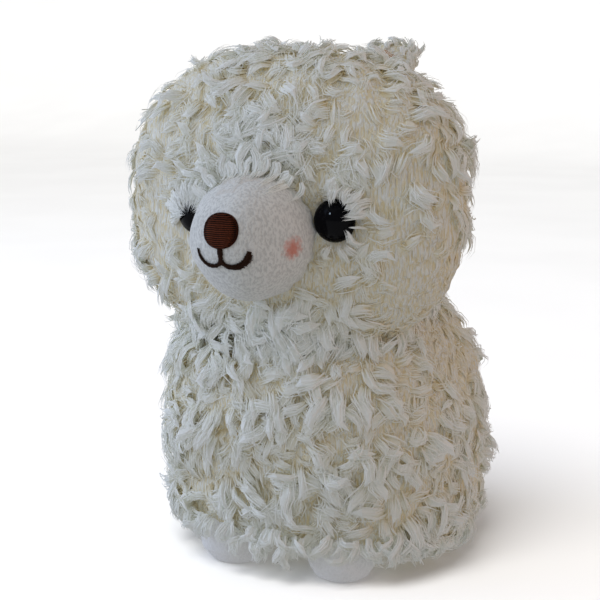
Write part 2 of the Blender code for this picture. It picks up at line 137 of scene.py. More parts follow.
# The outline of cores and strands: a sine from a first share of half a turn onward
OUTLINE_START = 0.16
OUTLINE_POWER = 1.1

# Strands over a core: their sides, the share of them that stands loose and how far, and the
# ranges of their length, lift, sway, waves and half width in mm
STRAND_SIDES = 3
LOOSE_SHARE = 0.16
LOOSE_REACH = 1.45
STRAND_LENGTH = (0.66, 1.0)
STRAND_LIFT = (0.2, 1.0)
STRAND_SWAY = (0.05, 0.26)
STRAND_WAVES = (0.4, 1.2)
STRAND_WIDTH = (0.16, 0.32)
STRAND_FLATNESS = 0.34
STRAND_TONES = 0.20
GATHERED = 0.68
TUFT_GATHERED = 0.80
TUFT_STRANDS = 15
WISP_STRANDS = 4
LEAF_STRANDS = 8

# Ranges of a lock's length, width and thickness as shares, and of its wave in radians
LENGTH_SHARES = (0.72, 1.25)
WIDTH_SHARES = (0.62, 1.15)
THICKNESS_SHARES = (0.38, 0.58)
WAVE_RANGE = (0.25, 0.85)

# Angles at which a lock rises at its root and falls at its end: middle and spread, in radians
RISE = (1.05, 0.20)
FALL = (-0.66, 0.26)

# Long swells of the pile: their size, and what they add to length and rise
SWELL_SIZE = 0.022
SWELL_LENGTH = 0.08
SWELL_RISE = 0.10

# Length and width of a lock at its first, second and third try, as shares
TRIES = ((1.0, 1.0), (0.6, 0.8), (0.36, 0.6))

# What flat pile loses of its rise, its length and its fall
FLAT_RISE = 0.55
FLAT_LENGTH = 0.30
FLAT_FALL = 0.50

# Where pile lies flat: how flat, and the middle and the width of each bell
NECK_FLATNESS = 0.15
NECK_BELL = (0.012, 0.018)
CORNER_FLATNESS = 0.8
CORNER_BELL = 0.016
SIDE_FLATNESS = 1.2
SIDE_BELL = (0.006, 0.026)
SIDE_START = 0.034
SIDE_RUN = 0.008

# Room that locks keep from the muzzle, the beads' outlines, the linings, the feet and the floor
MUZZLE_ROOM = 0.0004
BEAD_ROOM = 0.0058
BEAD_FRONT = 0.010
LINING_ROOM = 0.0045
LINING_SHARES = (0.42, 0.46)
FOOT_ROOM = 0.0002
FLOOR_ROOM = 0.0003

# Reach of the short locks beside the muzzle and the eyes
BESIDE_MUZZLE = 0.0085
BESIDE_EYE = 0.0135

# Headings of the locks: the pull of each cause, how far it reaches, the swirls' weight and
# size, and the weight of what strays
CROWN_CENTRE = np.array(HEAD_CENTRE) + (0.0, 0.004, 0.0)
MUZZLE_BACK = np.array(MUZZLE_CENTRE) + (0.0, 0.006, 0.0)
DOWN = np.array((0.0, 0.0, -1.0))
HEAD_HANG = np.array((0.0, -0.12, -0.75))
HEAD_OUTWARD = 0.35
HEAD_FROM_MUZZLE = 2.6
HEAD_MUZZLE_REACH = 0.0235
HEAD_SWIRL = 0.62
HEAD_SWIRL_SIZE = 0.034
HEAD_STRAY = 0.34
FACE_HANG = np.array((0.0, 0.0, -0.25))
FACE_FROM_MUZZLE = 0.9
FACE_MUZZLE_REACH = 0.03
FACE_EYE_REACH = 0.012
FACE_ROUND_EYE = 1.2
FACE_FROM_EYE = 0.5
FACE_STRAY = 0.5
CROWN_SWIRL_SIZE = 0.020
CROWN_STRAY = 0.6
HEM_STRAY = 0.22
BODY_SWIRL = 0.58
BODY_SWIRL_SIZE = 0.036
BODY_STRAY = 0.32
EAR_HANG = (0.0, -0.1, 0.9)
TAIL_HANG = (0.0, 0.3, -1.0)
LEAF_STRAY = 0.55

# Groups of locks: spacing of their roots, scale of the locks and depth of the roots
FACE_SPACING = 0.0032
FACE_SCALE = 0.55
FACE_ROOT_DEPTH = 0.0044
NECK_SPACING_SHARE = 0.95
NECK_SCALE = 1.15
CROWN_SPACING = 0.0040
CROWN_SCALE = 0.95
HEM_SPACING = 0.0037
HEM_SCALE = 0.70
HEM_ROOT_DEPTH = 0.0030
EAR_SPACING = 0.0030
TAIL_SPACING = 0.0042
LEAF_SCALE = 0.58
LEAF_ROOT_DEPTH = 0.0020
LEAF_PAD_DEPTH = 0.0016

# Where the groups lie: depths past which roots are hidden, the neck's band over its centre,
# the crown's ragged lower edge, the hem's band and the lowest roots of the body
HIDDEN_DEPTH = 0.004
NECK_HIDDEN_DEPTH = 0.006
NECK_BAND_MIDDLE = 0.003
NECK_BAND_HALF = 0.013
CROWN_EDGE = (0.72, 0.95)
HEM_BAND = (0.0085, 0.0165)
BODY_LOWEST_ROOT = 0.0055
HEM_OVER_FLOOR = 0.0012
HEM_OVER_FOOT = 0.0078
FOOT_HALF_SPAN = 0.0095
HEAD_DIVIDE = -0.022
BODY_DIVIDE = 0.004

# The ears' fronts, bare of locks where the linings show
EAR_FRONT_WAY = -0.45
EAR_FRONT_HALF = 0.0058
EAR_FRONT_DROP = 0.008

# Tufts that bow over an edge: the bow's height, how they rise out of the fleece and come
# forward, and how far they stay before the dome
TUFT_BOW = 0.17
TUFT_ROOT_DEPTH = 0.0044
TUFT_FORWARD = 0.0058
TUFT_ROOM = 0.0011
TUFT_FLATNESS = 0.45
TUFT_TURN_SPREADS = (0.08, 0.16)
TUFT_ROOT_SHARES = (0.90, 1.08)
TUFT_TIP_SPREAD = 0.0006
TUFT_WIDTH_SHARES = (0.75, 1.25)

# Rows of tufts: first and last turn from the edge's top, their number, the reach of roots and
# tips from its centre, the half width, and the seed of their spreads
LEFT_BROW = (0.1, 1.3, 7, 0.0118, 0.0048, 0.0015, 15)
RIGHT_BROW = (-1.1, 1.8, 22, 0.0118, 0.0014, 0.0011, 16)
LEFT_CHEEK = (2.1, 3.3, 4, 0.0122, 0.0060, 0.0011, 17)
MUZZLE_EDGE = (-1.0, 0.70, 17, 0.0222, 0.0148, 0.0012, 18)

# Thin wisps over an eye, in mm from its centre: outward and up at the root, the same at the
# tip, and the half width
EYE_WISPS = (
    (9.6, 3.6, 3.6, 1.3, 0.45),
    (10.0, 0.6, 3.0, 0.5, 0.35),
    (9.8, -2.6, 4.6, -1.1, 0.45),
)

# Rows and columns of the closed skins
BACKING_GRID = (50, 90)
LEAF_GRID = (20, 32)
LINING_GRID = (24, 40)
MUZZLE_GRID = (66, 116)
FOOT_GRID = (30, 48)
BASE_GRID = (24, 90)
PAD_GRID = (12, 48)

# Relief of the short-pile pieces: puckers where the muzzle is sewn in, as folds round it with
# their phase and their share, and soft lumps, each with its size
PUCKER = 0.00035
PUCKER_REACH = 0.35
FOLDS = ((17.0, 0.6, 1.0), (29.0, 2.0, 0.6))
MUZZLE_LUMP = 0.00022
MUZZLE_LUMP_SIZE = 0.015
LINING_LUMP = 0.00025
LINING_LUMP_SIZE = 0.004
FOOT_LUMP = 0.00018
FOOT_LUMP_SIZE = 0.008
FOOT_SEAM = 0.00035
FOOT_SEAM_HEIGHT = 0.0026
FOOT_SEAM_WIDTH = 0.0005
BASE_LUMP = 0.0002
BASE_LUMP_SIZE = 0.02
BASE_SQUARENESS = (2.0, 5.0, 5.0)

# The bead eyes: the stem's radius, the neck behind the bead, and the rings and columns
STEM = 0.0018
STEM_NECK = 0.001
STEM_END = 0.0004
BEAD_RINGS = 26
BEAD_COLUMNS = 56

# The stitched nose: rows of level threads, short stitches round the rim, and the pad under
# them; radii and how far each lies in front of the muzzle
STITCH_SIDES = 6
NOSE_ROWS = 17
NOSE_THREAD = 0.00028
NOSE_LIFT = 0.00056
NOSE_POWER = 2.3
NOSE_RAGGED = 0.00012
RIM_STITCHES = 76
RIM_THREAD = 0.00022
RIM_LIFT = 0.00038
RIM_BOW = 0.00014
RIM_POWER = 2.2
RIM_WIDTH = 0.055
PAD_SPREAD = 1.03
PAD_FRONT = 0.0005
PAD_BACK = 0.0022
PAD_LIFT = 0.0004

# The stitched mouth: the lip line's length, the arcs' drop, rise and half width, and the
# stitches' half widths, radius and how far they bow in front of the muzzle
LIP_LENGTH = 0.0030
ARC_DROP = 0.0031
ARC_RISE = 0.0022
ARC_HALF = 0.0038
LIP_STITCHES = 14
ARC_STITCHES = 34
LIP_HALF_WIDTH = 0.00072
ARC_HALF_WIDTH = 0.00058
ARC_LEFT_GAIN = 0.00034
ARC_RIGHT_LOSS = -0.00026
MOUTH_RAGGED = (0.76, 1.30)
MOUTH_THREAD = 0.00021
MOUTH_BOW = 0.00048
MOUTH_LIFT = 0.00010

# Patterns of the finishes, as the size of a feature in mm. Acrylic and polyester fibres are
# 0.02 to 0.03 mm thick, too fine to show, so pile is drawn as bundles and dashes that show.
# Streaks are counted round and along a strand instead, and so is a thread's twist.
FIBRE_STREAKS = (26.0, 2.2, 1.0)
FLEECE_PATCH = 18.18
BACKING_DASH = (0.667, 0.667, 3.333)
VELOUR_DASH = (0.667, 0.667, 1.176)
VELOUR_FUZZ = 2.381
BLUSH_SPECK = 1.111
BEAD_SWIRL = 3.846
THREAD_TWIST = (2.0, 16.0, 1.0)
NOSE_FUZZ = 0.5556
MOUTH_FUZZ = 0.5534
NYLON_CLOUD = 3.333
FILLING_TANGLE = 2.632
FLOOR_CLOUD = 166.7

# The blush: where it starts to fade and where it ends, how strong it is and how ragged
BLUSH_FADE = (0.0028, 0.0062)
BLUSH_STRENGTH = 0.80
BLUSH_RAGGED = 0.0040

# Finishes: roughness and the shader's other constants, typical of the real material and then
# matched to the toy. The bead and the threads keep little gloss under the broad lights.
FLEECE_FINISH = (0.62, {"Specular IOR Level": 0.3})
BACKING_FINISH = (0.9,)
VELOUR_FINISH = (0.85, {"Sheen Weight": 0.35, "Sheen Roughness": 0.5})
BEAD_FINISH = (0.06, {"IOR": 1.53, "Specular IOR Level": 0.04})
THREAD_FINISH = (0.5, {"Specular IOR Level": 0.05})
NYLON_FINISH = (0.4, {"IOR": 1.53})
FILLING_FINISH = (0.95, {"Sheen Weight": 0.4})
FLOOR_FINISH = (0.9,)

# How deep the patterns stand, in metres
STREAK_DEPTH = 0.00008
STREAK_STRENGTH = 0.6
BACKING_DEPTH_OF_FUZZ = 0.0008
VELOUR_DEPTH = 0.00030
BEAD_DEPTH = 0.00001
TWIST_DEPTH = 0.00006
TANGLE_DEPTH = 0.0008

# Fades of the fleece: the heights over which the roots' tint and painted shade turn to lengths
# and lengths to tips, the patches' range and strength, and the darkest shade of a streak and of a lock
ROOT_TINT_AND_SHADE_FADE = (0.10, 0.60)
TIP_FADE = (0.45, 0.95)
PATCH_RANGE = (0.35, 0.75)
PATCH_STRENGTH = 0.35
STREAK_RANGE = (0.30, 0.70)
STREAK_SHADE = 0.98
LOCK_SHADE = 0.975

# Fades of the others: the backing's fuzz, the velour's dashes and their darkest shade, the
# painted highlight along a thread's ridge and the range of the threads' own tones
BACKING_RANGE = (0.3, 0.65)
VELOUR_RANGE = (0.36, 0.60)
VELOUR_SHADE = 0.76
RIDGE_REACH = (0.03, 0.15)
RIDGE_LIGHT = 2.2
THREAD_TONES = (0.7, 1.5)

# Seeds of the random draws, by use, and of the smooth fields
ROOT_SEED = 7
HEAD_SEED = 31
FACE_SEED = 37
NECK_SEED = 43
BODY_SEED = 47
CROWN_SEED = 53
HEM_SEED = 59
QUARTER_SEED = 100
TUFT_SEED = 120
LEAF_ROOT_SEED = 60
LEAF_SEED = 70
LEAF_PILE_SEED = 80
NOSE_SEED = 5
MOUTH_SEED = 9
HEAD_SWIRL_SEED = 11
BODY_SWIRL_SEED = 23
CROWN_SWIRL_SEED = 29
BACKING_SEED = 3
MUZZLE_SEED = 5
LINING_SEED = 9
FOOT_SEED = 13
BASE_SEED = 17

# Second shades of the finishes that have two
BEAD_SHADE = "#0C0B0E"
# The nose's thread is this dark brown; its lighter nose colour is painted along each crest as a highlight.
NOSE_SHADE = "#120805"
# Lighter brown painted as a highlight along the crests of the mouth's dark threads.
MOUTH_PAINTED_HIGHLIGHT = "#4A2E1E"
# The feet's velour is paler than the muzzle's, with lighter dashes: a pale colour of its own, lifted
# further as painted light against the body's shadow on the feet.
FOOT_COLOUR = "#FCFCFC"
FOOT_SHADE_LOW = 0.93
NYLON_SHADES = ("#EDEBE4", "#DAD8D0")
FILLING_SHADES = ("#F2F1EC", "#CFCDC6")
FLOOR_SHADE = "#F1F0EE"

# The stage: the room's even light, the lights' places, sides in metres, watts and colours,
# the floor's own light, the floor's reach and bend, and the camera
ROOM_COLOUR = "#F3F4F6"
ROOM_STRENGTH = 0.40
LIGHT_AIM = (0.0, -0.01, 0.08)
LIGHTS = {
    "window_light": ((-0.76, -0.38, 0.34), 0.80, 3.85, "#C6DAFF"),
    "ceiling_light": ((-0.25, -0.35, 1.10), 1.4, 1.9, "#F1F5FF"),
    "lamp_light": ((0.75, 0.05, 0.35), 0.6, 0.52, "#FF9438"),
    "eye_light": ((-0.16, -0.50, 0.34), 0.06, 0.9, "#CFE6FF"),
}
BEADS = ("eye_left_bead", "eye_right_bead")
FLOOR_LIGHT = 2.5
FLOOR_LIGHT_ANGLE = 0.6
FLOOR_LIGHT_TILT = 35.0
LIGHT_BOUNCES = 16
PALE_BOUNCES = 12
FLOOR_FRONT = -3.0
FLOOR_HALF_WIDTH = 4.0
BEND_START = 1.6
BEND_RADIUS = 1.2
WALL_TOP = 4.0
CAMERA_PLACE = (0.1754, -0.3635, 0.145)
CAMERA_AIM = (-0.0042, -0.0061, 0.0769)
FOCAL_LENGTH = 81.6
FILM_WIDTH = 36.0
NEAREST = 0.01


def linear(code, alpha=1.0):
    """A colour written as an sRGB hex value, turned linear."""
    values = [int(code[place:place + 2], 16) / 255.0 for place in (1, 3, 5)]
    turned = [v / 12.92 if v <= 0.04045 else ((v + 0.055) / 1.055) ** 2.4 for v in values]
    return (*turned, alpha)


def add_node(tree, kind, settings=None, inputs=None):
    """Add a node with its own settings; an input is given a value, or linked to a socket."""
    made = tree.nodes.new(kind)
    for key, value in (settings or {}).items():
        setattr(made, key, value)
    for key, value in (inputs or {}).items():
        if isinstance(value, bpy.types.NodeSocket):
            tree.links.new(value, made.inputs[key])
        else:
            made.inputs[key].default_value = value
    return made


def start_material(name, roughness, settings=None):
    """A new material and its shader, with the constants set on the shader's own sockets."""
    material = bpy.data.materials.new(name)
    material.use_nodes = True
    tree = material.node_tree
    shader = tree.nodes["Principled BSDF"]
    shader.inputs["Roughness"].default_value = roughness
    for key, value in (settings or {}).items():
        shader.inputs[key].default_value = value
    return material, tree, shader


def blend_colours(tree, factor, first, second, kind="MIX"):
    """A colour mixed from two colours by a factor; returns its socket."""
    mixed = add_node(tree, "ShaderNodeMix", {"data_type": "RGBA", "blend_type": kind},
                     {0: factor, 6: first, 7: second})
    return mixed.outputs[2]


def spread(tree, value, low, high, new_low, new_high, smooth=True):
    """A value taken from one range to another; returns its socket."""
    kind = "SMOOTHSTEP" if smooth else "LINEAR"
    ranged = add_node(tree, "ShaderNodeMapRange", {"interpolation_type": kind},
                      {"Value": value, "From Min": low, "From Max": high,
                       "To Min": new_low, "To Max": new_high})
    return ranged.outputs["Result"]


def arithmetic(tree, operation, first, second=0.0):
    """The result of a sum or product of two values; returns its socket."""
    made = add_node(tree, "ShaderNodeMath", {"operation": operation}, {0: first, 1: second})
    return made.outputs[0]


def repeats(size):
    """How many features of a size in mm lie along a metre, which is a pattern's scale."""
    return 1.0 / (size * MM)


def raise_surface(tree, shader, height, distance, strength=1.0):
    """Lead a height to the shader's normal as a bump of the given depth in metres."""
    bump = add_node(tree, "ShaderNodeBump", None,
                    {"Height": height, "Distance": distance, "Strength": strength})
    tree.links.new(bump.outputs["Normal"], shader.inputs["Normal"])


def unit(vectors):
    """Vectors of length one along the last axis."""
    return vectors / np.maximum(np.linalg.norm(vectors, axis=-1, keepdims=True), 1e-12)


def bell(distance, width):
    """A bell curve of a distance: one in the middle, falling off over the width."""
    return np.exp(-(distance / width) ** 2)


class Form:
    """A rounded solid: its centre, its reach to each side and how square it is.

    Along a way (x, y, z) the skin lies where ((|x|/a)^p + (|y|/b)^p)^(u/p) + (|z|/c)^u is one,
    with p the squareness in plan and u the upright squareness above or below the centre.
    """

    def __init__(self, centre, low, high, squareness, relief=None):
        self.centre = np.array(centre, float)
        self.low = np.array(low, float)
        self.high = np.array(high, float)
        self.squareness = squareness
        self.relief = relief

    def level(self, offsets):
        """How far out offsets lie, where one is the skin."""
        plan, above, below = self.squareness
        parts = np.abs(offsets) / np.where(offsets > 0.0, self.high, self.low)
        upright = np.where(offsets[..., 2] > 0.0, above, below)
        flat = (parts[..., 0] ** plan + parts[..., 1] ** plan) ** (1.0 / plan)
        return (flat ** upright + parts[..., 2] ** upright) ** (1.0 / upright)

    def reach(self, ways):
        """Distance from the centre to the skin along unit ways, with the relief."""
        distance = 1.0 / self.level(ways)
        if self.relief:
            distance = distance + self.relief(ways, distance)
        return distance

    def skin(self, ways, grow=0.0):
        """Points of the skin along unit ways, grown by a distance."""
        return self.centre + ways * (self.reach(ways) + grow)[..., None]

    def normals(self, ways):
        """Outward normals of the skin, from two small steps across each way."""
        aside = np.where(np.abs(ways[..., 2:]) < 0.9, (0.0, 0.0, 1.0), (1.0, 0.0, 0.0))
        first = unit(np.cross(ways, aside))
        second = np.cross(ways, first)
        here = self.skin(ways)
        one = self.skin(unit(ways + SMALL_STEP * first)) - here
        two = self.skin(unit(ways + SMALL_STEP * second)) - here
        return unit(np.cross(one, two))

    def inside(self, points, grow=0.0):
        """Whether points lie inside the form grown by a distance."""
        offsets = points - self.centre
        distance = np.linalg.norm(offsets, axis=-1)
        return distance < self.reach(unit(offsets)) + grow


def front_of(form, x, z):
    """Y of a form's front skin at the given x and z, as arrays."""
    plan, above, below = form.squareness
    height = z - form.centre[2]
    rise = np.abs(height) / np.where(height > 0.0, form.high[2], form.low[2])
    upright = np.where(height > 0.0, above, below)
    level = np.maximum(0.0, 1.0 - rise ** upright) ** (1.0 / upright)
    across = np.abs(x - form.centre[0]) / form.high[0]
    depth = np.maximum(0.0, level ** plan - across ** plan) ** (1.0 / plan)
    return form.centre[1] - form.low[1] * depth


def eye_centre(side):
    """Centre of an eye's bead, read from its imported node."""
    low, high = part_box("eye_left" if side > 0 else "eye_right")
    return np.array(((low.x + high.x) / 2.0, low.y + EYE_DEPTH, (low.z + high.z) / 2.0))


def face_hollows(ways, distance):
    """Relief that draws the head in round each eye, by a bell of the distance from it."""
    total = np.zeros(ways.shape[:-1])
    for side in (-1, 1):
        toward = unit(eye_centre(side) - np.array(HEAD_CENTRE))
        away = np.linalg.norm(ways - toward, axis=-1) * distance / EYE_HOLLOW_WIDTH
        total -= EYE_HOLLOW * np.exp(-away * away)
    return total


def over_toes(ways, distance):
    """Relief that draws the body in above the front feet."""
    return -2.0 * TOE_RECESS * np.maximum(0.0, -ways[..., 1]) * np.maximum(0.0, -ways[..., 2])


BODY = Form(BODY_CENTRE, BODY_LOW, BODY_HIGH, BODY_SQUARENESS, over_toes)
HEAD = Form(HEAD_CENTRE, HEAD_LOW, HEAD_HIGH, HEAD_SQUARENESS, face_hollows)
HEM = Form(BODY_CENTRE, HEM_LOW, HEM_HIGH, BODY_SQUARENESS)
NECK = Form(NECK_CENTRE, NECK_LOW, NECK_HIGH, SOFT)
MUZZLE = Form(MUZZLE_CENTRE, MUZZLE_LOW, MUZZLE_HIGH, MUZZLE_SQUARENESS)


def smooth_waves(points, seed, wavelength):
    """Three smooth fields over space, each a sum of sine waves in random directions."""
    draw = np.random.default_rng(seed)
    total = np.zeros(points.shape[:-1] + (3,))
    waves = 7
    for _ in range(waves):
        direction = unit(draw.normal(size=3))
        wave_number = FULL_TURN / wavelength * draw.uniform(0.6, 1.5)
        phases = draw.uniform(0.0, FULL_TURN, 3)
        gains = draw.normal(size=3)
        total += gains * np.sin((points @ direction * wave_number)[..., None] + phases)
    return total / math.sqrt(waves / 2.0)


def build_mesh(name, points, faces, maps, material, smooth=True):
    """An object from arrays: points, lists of faces' corners, and a place per corner for each map."""
    mesh = bpy.data.meshes.new(name)
    sizes = np.concatenate([np.full(len(part), part.shape[1]) for part in faces])
    corners = np.concatenate([part.ravel() for part in faces]).astype(np.int32)
    starts = np.concatenate([[0], np.cumsum(sizes)[:-1]]).astype(np.int32)
    mesh.vertices.add(len(points))
    mesh.vertices.foreach_set("co", np.ascontiguousarray(points, np.float32).ravel())
    mesh.loops.add(len(corners))
    mesh.loops.foreach_set("vertex_index", corners)
    mesh.polygons.add(len(sizes))
    mesh.polygons.foreach_set("loop_start", starts)
    for label, places in maps.items():
        layer = mesh.uv_layers.new(name=label)
        layer.data.foreach_set("uv", np.ascontiguousarray(places, np.float32).ravel())
    mesh.update(calc_edges=True)
    if smooth:
        mesh.shade_smooth()
    else:
        mesh.shade_flat()
    mesh.validate()
    mesh.materials.append(material)
    thing = bpy.data.objects.new(name, mesh)
    bpy.context.scene.collection.objects.link(thing)
    return thing


def finish_piece(thing, nodes=()):
    """Let a piece ride on the toy, and hide the nodes it stands for."""
    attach(thing, "root")
    if nodes:
        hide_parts(*nodes)
    return thing


# ---------------------------------------------------------------- tubes: locks, fibres, stitches

def carry_frames(paths, outward):
    """Along each path, its direction, the way across and the way up, at right angles."""
    along = unit(np.gradient(paths, axis=1))
    across = unit(np.cross(outward, along))
    up = np.cross(along, across)
    return along, across, up


def tube_points(paths, across, up, half_width, half_height, sides):
    """Rings of points round each path, the last one drawn together to a single tip.

    A ring's point at turn t is path + half width * cos t * across + half height * sin t * up.
    """
    turns = FULL_TURN * (np.arange(sides) / sides + (0.25 if sides == 3 else 0.0))
    rings = (paths[:, :-1, None, :]
             + (half_width[:, :-1, None] * np.cos(turns))[..., None] * across[:, :-1, None, :]
             + (half_height[:, :-1, None] * np.sin(turns))[..., None] * up[:, :-1, None, :])
    count, levels = rings.shape[:2]
    flat = rings.reshape(count, levels * sides, 3)
    return np.concatenate([flat, paths[:, -1:, :]], axis=1)


def tube_faces(count, levels, sides):
    """Corners of every tube's faces: quads between rings, triangles to the tip and a root cap."""
    ring = np.arange(sides)
    after = (ring + 1) % sides
    low = np.arange(levels - 1)[:, None] * sides
    quads = np.stack([low + ring, low + after, low + sides + after, low + sides + ring], axis=-1)
    last = (levels - 1) * sides
    tips = np.stack([last + ring, last + after, np.full(sides, levels * sides)], axis=-1)
    cap = ring[::-1][None, :]
    size = levels * sides + 1
    starts = np.arange(count)[:, None, None] * size
    return [(starts + part.reshape(-1, part.shape[-1])).reshape(-1, part.shape[-1])
            for part in (quads, tips, cap)]


def by_corner(values, sides):
    """Values of each tube's rings, (tubes, levels + 1), given to the corners of its faces."""
    ones = np.ones(sides)
    levels = values.shape[1] - 1
    low = values[:, :levels - 1, None] * ones
    high = values[:, 1:levels, None] * ones
    quads = np.stack([low, low, high, high], axis=-1).reshape(len(values), -1, 4)
    last, tip = values[:, levels - 1, None] * ones, values[:, levels, None] * ones
    return [quads, np.stack([last, last, tip], axis=-1), values[:, :1, None] * ones]


def tube_places(heights, sides, tones, firsts, girth):
    """Two maps for tubes: tone against height, and turn against length.

    In the first, U is the tube's own tone and V is the height given for each ring. In the
    second, U goes once round the tube, times its girth, and V runs from root to tip.
    """
    levels = heights.shape[1] - 1
    ring = np.arange(sides)
    wide = np.ones((levels - 1, 1))
    turns = [np.stack([wide * ring, wide * (ring + 1), wide * (ring + 1), wide * ring],
                      axis=-1).reshape(-1, 4) / sides,
             np.stack([ring, ring + 1, ring + 0.5], axis=-1) / sides,
             (ring[::-1] / sides)[None, :]]
    lengths = np.broadcast_to(np.linspace(0.0, 1.0, levels + 1), heights.shape)
    tone_map, turn_map = [], []
    for height, length, turn in zip(by_corner(heights, sides), by_corner(lengths, sides), turns):
        tone = np.broadcast_to(tones[:, None, None], height.shape)
        around = girth * turn[None] + firsts[:, None, None]
        tone_map.append(np.stack([tone, height], axis=-1).reshape(-1, 2))
        turn_map.append(np.stack([around, length], axis=-1).reshape(-1, 2))
    return np.concatenate(tone_map), np.concatenate(turn_map)


def tube_group(points, sides, tones, firsts=0.0, girth=1.0, heights=None):
    """What join_tubes needs to know of a group of like tubes."""
    count, size = points.shape[:2]
    levels = (size - 1) // sides
    if heights is None:
        heights = np.broadcast_to(np.linspace(0.0, 1.0, levels + 1), (count, levels + 1))
    return {"points": points, "sides": sides, "tones": tones, "levels": levels,
            "firsts": np.zeros(count) + firsts, "girth": girth, "heights": heights}


def join_tubes(groups):
    """Points, faces and maps of several groups of tubes as one set of arrays."""
    points, faces, tone_maps, turn_maps, total = [], [], [], [], 0
    for group in groups:
        count, size = group["points"].shape[:2]
        for part in tube_faces(count, group["levels"], group["sides"]):
            faces.append(part + total)
        tone_map, turn_map = tube_places(group["heights"], group["sides"], group["tones"],
                                         group["firsts"], group["girth"])
        tone_maps.append(tone_map)
        turn_maps.append(turn_map)
        points.append(group["points"].reshape(-1, 3))
        total += count * size
    maps = {"Pile": np.concatenate(tone_maps), "Fibres": np.concatenate(turn_maps)}
    return np.concatenate(points), faces, maps


# ---------------------------------------------------------------- fleece

def even_ways(count):
    """Unit vectors spread evenly over a sphere along a golden-angle spiral."""
    index = np.arange(count)
    height = 1.0 - 2.0 * (index + 0.5) / count
    ring = np.sqrt(1.0 - height * height)
    turn = GOLDEN_ANGLE * index
    return np.stack([ring * np.cos(turn), ring * np.sin(turn), height], axis=-1)


def scatter_roots(form, spacing, draw):
    """Ways of roots that lie about a spacing apart on the skin, thinned by the skin's area."""
    tries = even_ways(TRIAL_WAYS)
    aside = unit(np.cross(tries, (0.31, 0.17, 0.93)))
    other = np.cross(tries, aside)
    here = form.skin(tries)
    one = (form.skin(unit(tries + SMALL_STEP * aside)) - here) / SMALL_STEP
    two = (form.skin(unit(tries + SMALL_STEP * other)) - here) / SMALL_STEP
    area = np.linalg.norm(np.cross(one, two), axis=-1)
    count = int(BALL_AREA * area.max() / spacing ** 2)
    ways = even_ways(count)
    nearest = np.minimum((np.arange(count) * TRIAL_WAYS) // count, TRIAL_WAYS - 1)
    ways = unit(ways + draw.normal(size=ways.shape) * ROOT_JITTER * math.sqrt(BALL_AREA / count))
    kept = draw.random(count) < (area[nearest] / area.max())
    return ways[kept]


def lock_paths(form, ways, flow, length, root, rise, fall, turn, wave, phase, samples):
    """Paths of locks over a form's skin, as (locks, samples, 3), and the way out at each.

    A lock leaves its root at the angle `rise` above the skin and comes to the angle `fall` at
    its end. Its heading turns by `turn` in all, with a sine wave of the height `wave` added,
    and each step is carried over the skin and then lifted by what the lock has risen.
    """
    steps = samples - 1
    stride = (length / steps)[:, None]
    heading = flow
    lift = np.full(len(ways), root)
    way = ways
    points, outward = [], []
    turned_before = wave * np.sin(phase)
    for step in range(samples):
        normal = form.normals(way)
        points.append(form.skin(way) + normal * lift[:, None])
        outward.append(normal)
        share = (step + 0.5) / steps
        slope = rise + (fall - rise) * share
        turned = turn * share ** 1.3 + wave * np.sin(FULL_TURN * share + phase)
        swing = (turned - turned_before)[:, None]
        turned_before = turned
        heading = unit(heading - normal * np.sum(heading * normal, -1, keepdims=True))
        heading = np.cos(swing) * heading + np.sin(swing) * np.cross(normal, heading)
        lift = lift + length / steps * np.sin(slope)
        ahead = form.skin(way) + heading * stride * np.cos(slope)[:, None]
        way = unit(ahead - form.centre)
    return np.stack(points, axis=1), np.stack(outward, axis=1)


def along_path(values, share):
    """Values at shares (0 to 1) of each path's length, between its samples."""
    last = values.shape[1] - 1
    place = np.clip(share, 0.0, 1.0) * last
    low = np.minimum(place.astype(int), last - 1)
    part = (place - low)[..., None]
    rows = np.arange(len(values))[:, None]
    return values[rows, low] * (1.0 - part) + values[rows, low + 1] * part


def pile_height(form, points, share):
    """How high points lie in the pile, 0 to 1, by their depth below the form's skin and by
    their share of the way along their lock.
    """
    offsets = points - form.centre
    distance = np.linalg.norm(offsets, axis=-1)
    depth = 1.0 + (distance - form.reach(unit(offsets))) / PILE_SHADE_DEPTH
    # The fleece's colour follows this height, so low and deep points carry painted shade.
    return HEIGHT_FROM_DEPTH * np.clip(depth, 0.0, TALLEST) + HEIGHT_FROM_LENGTH * share


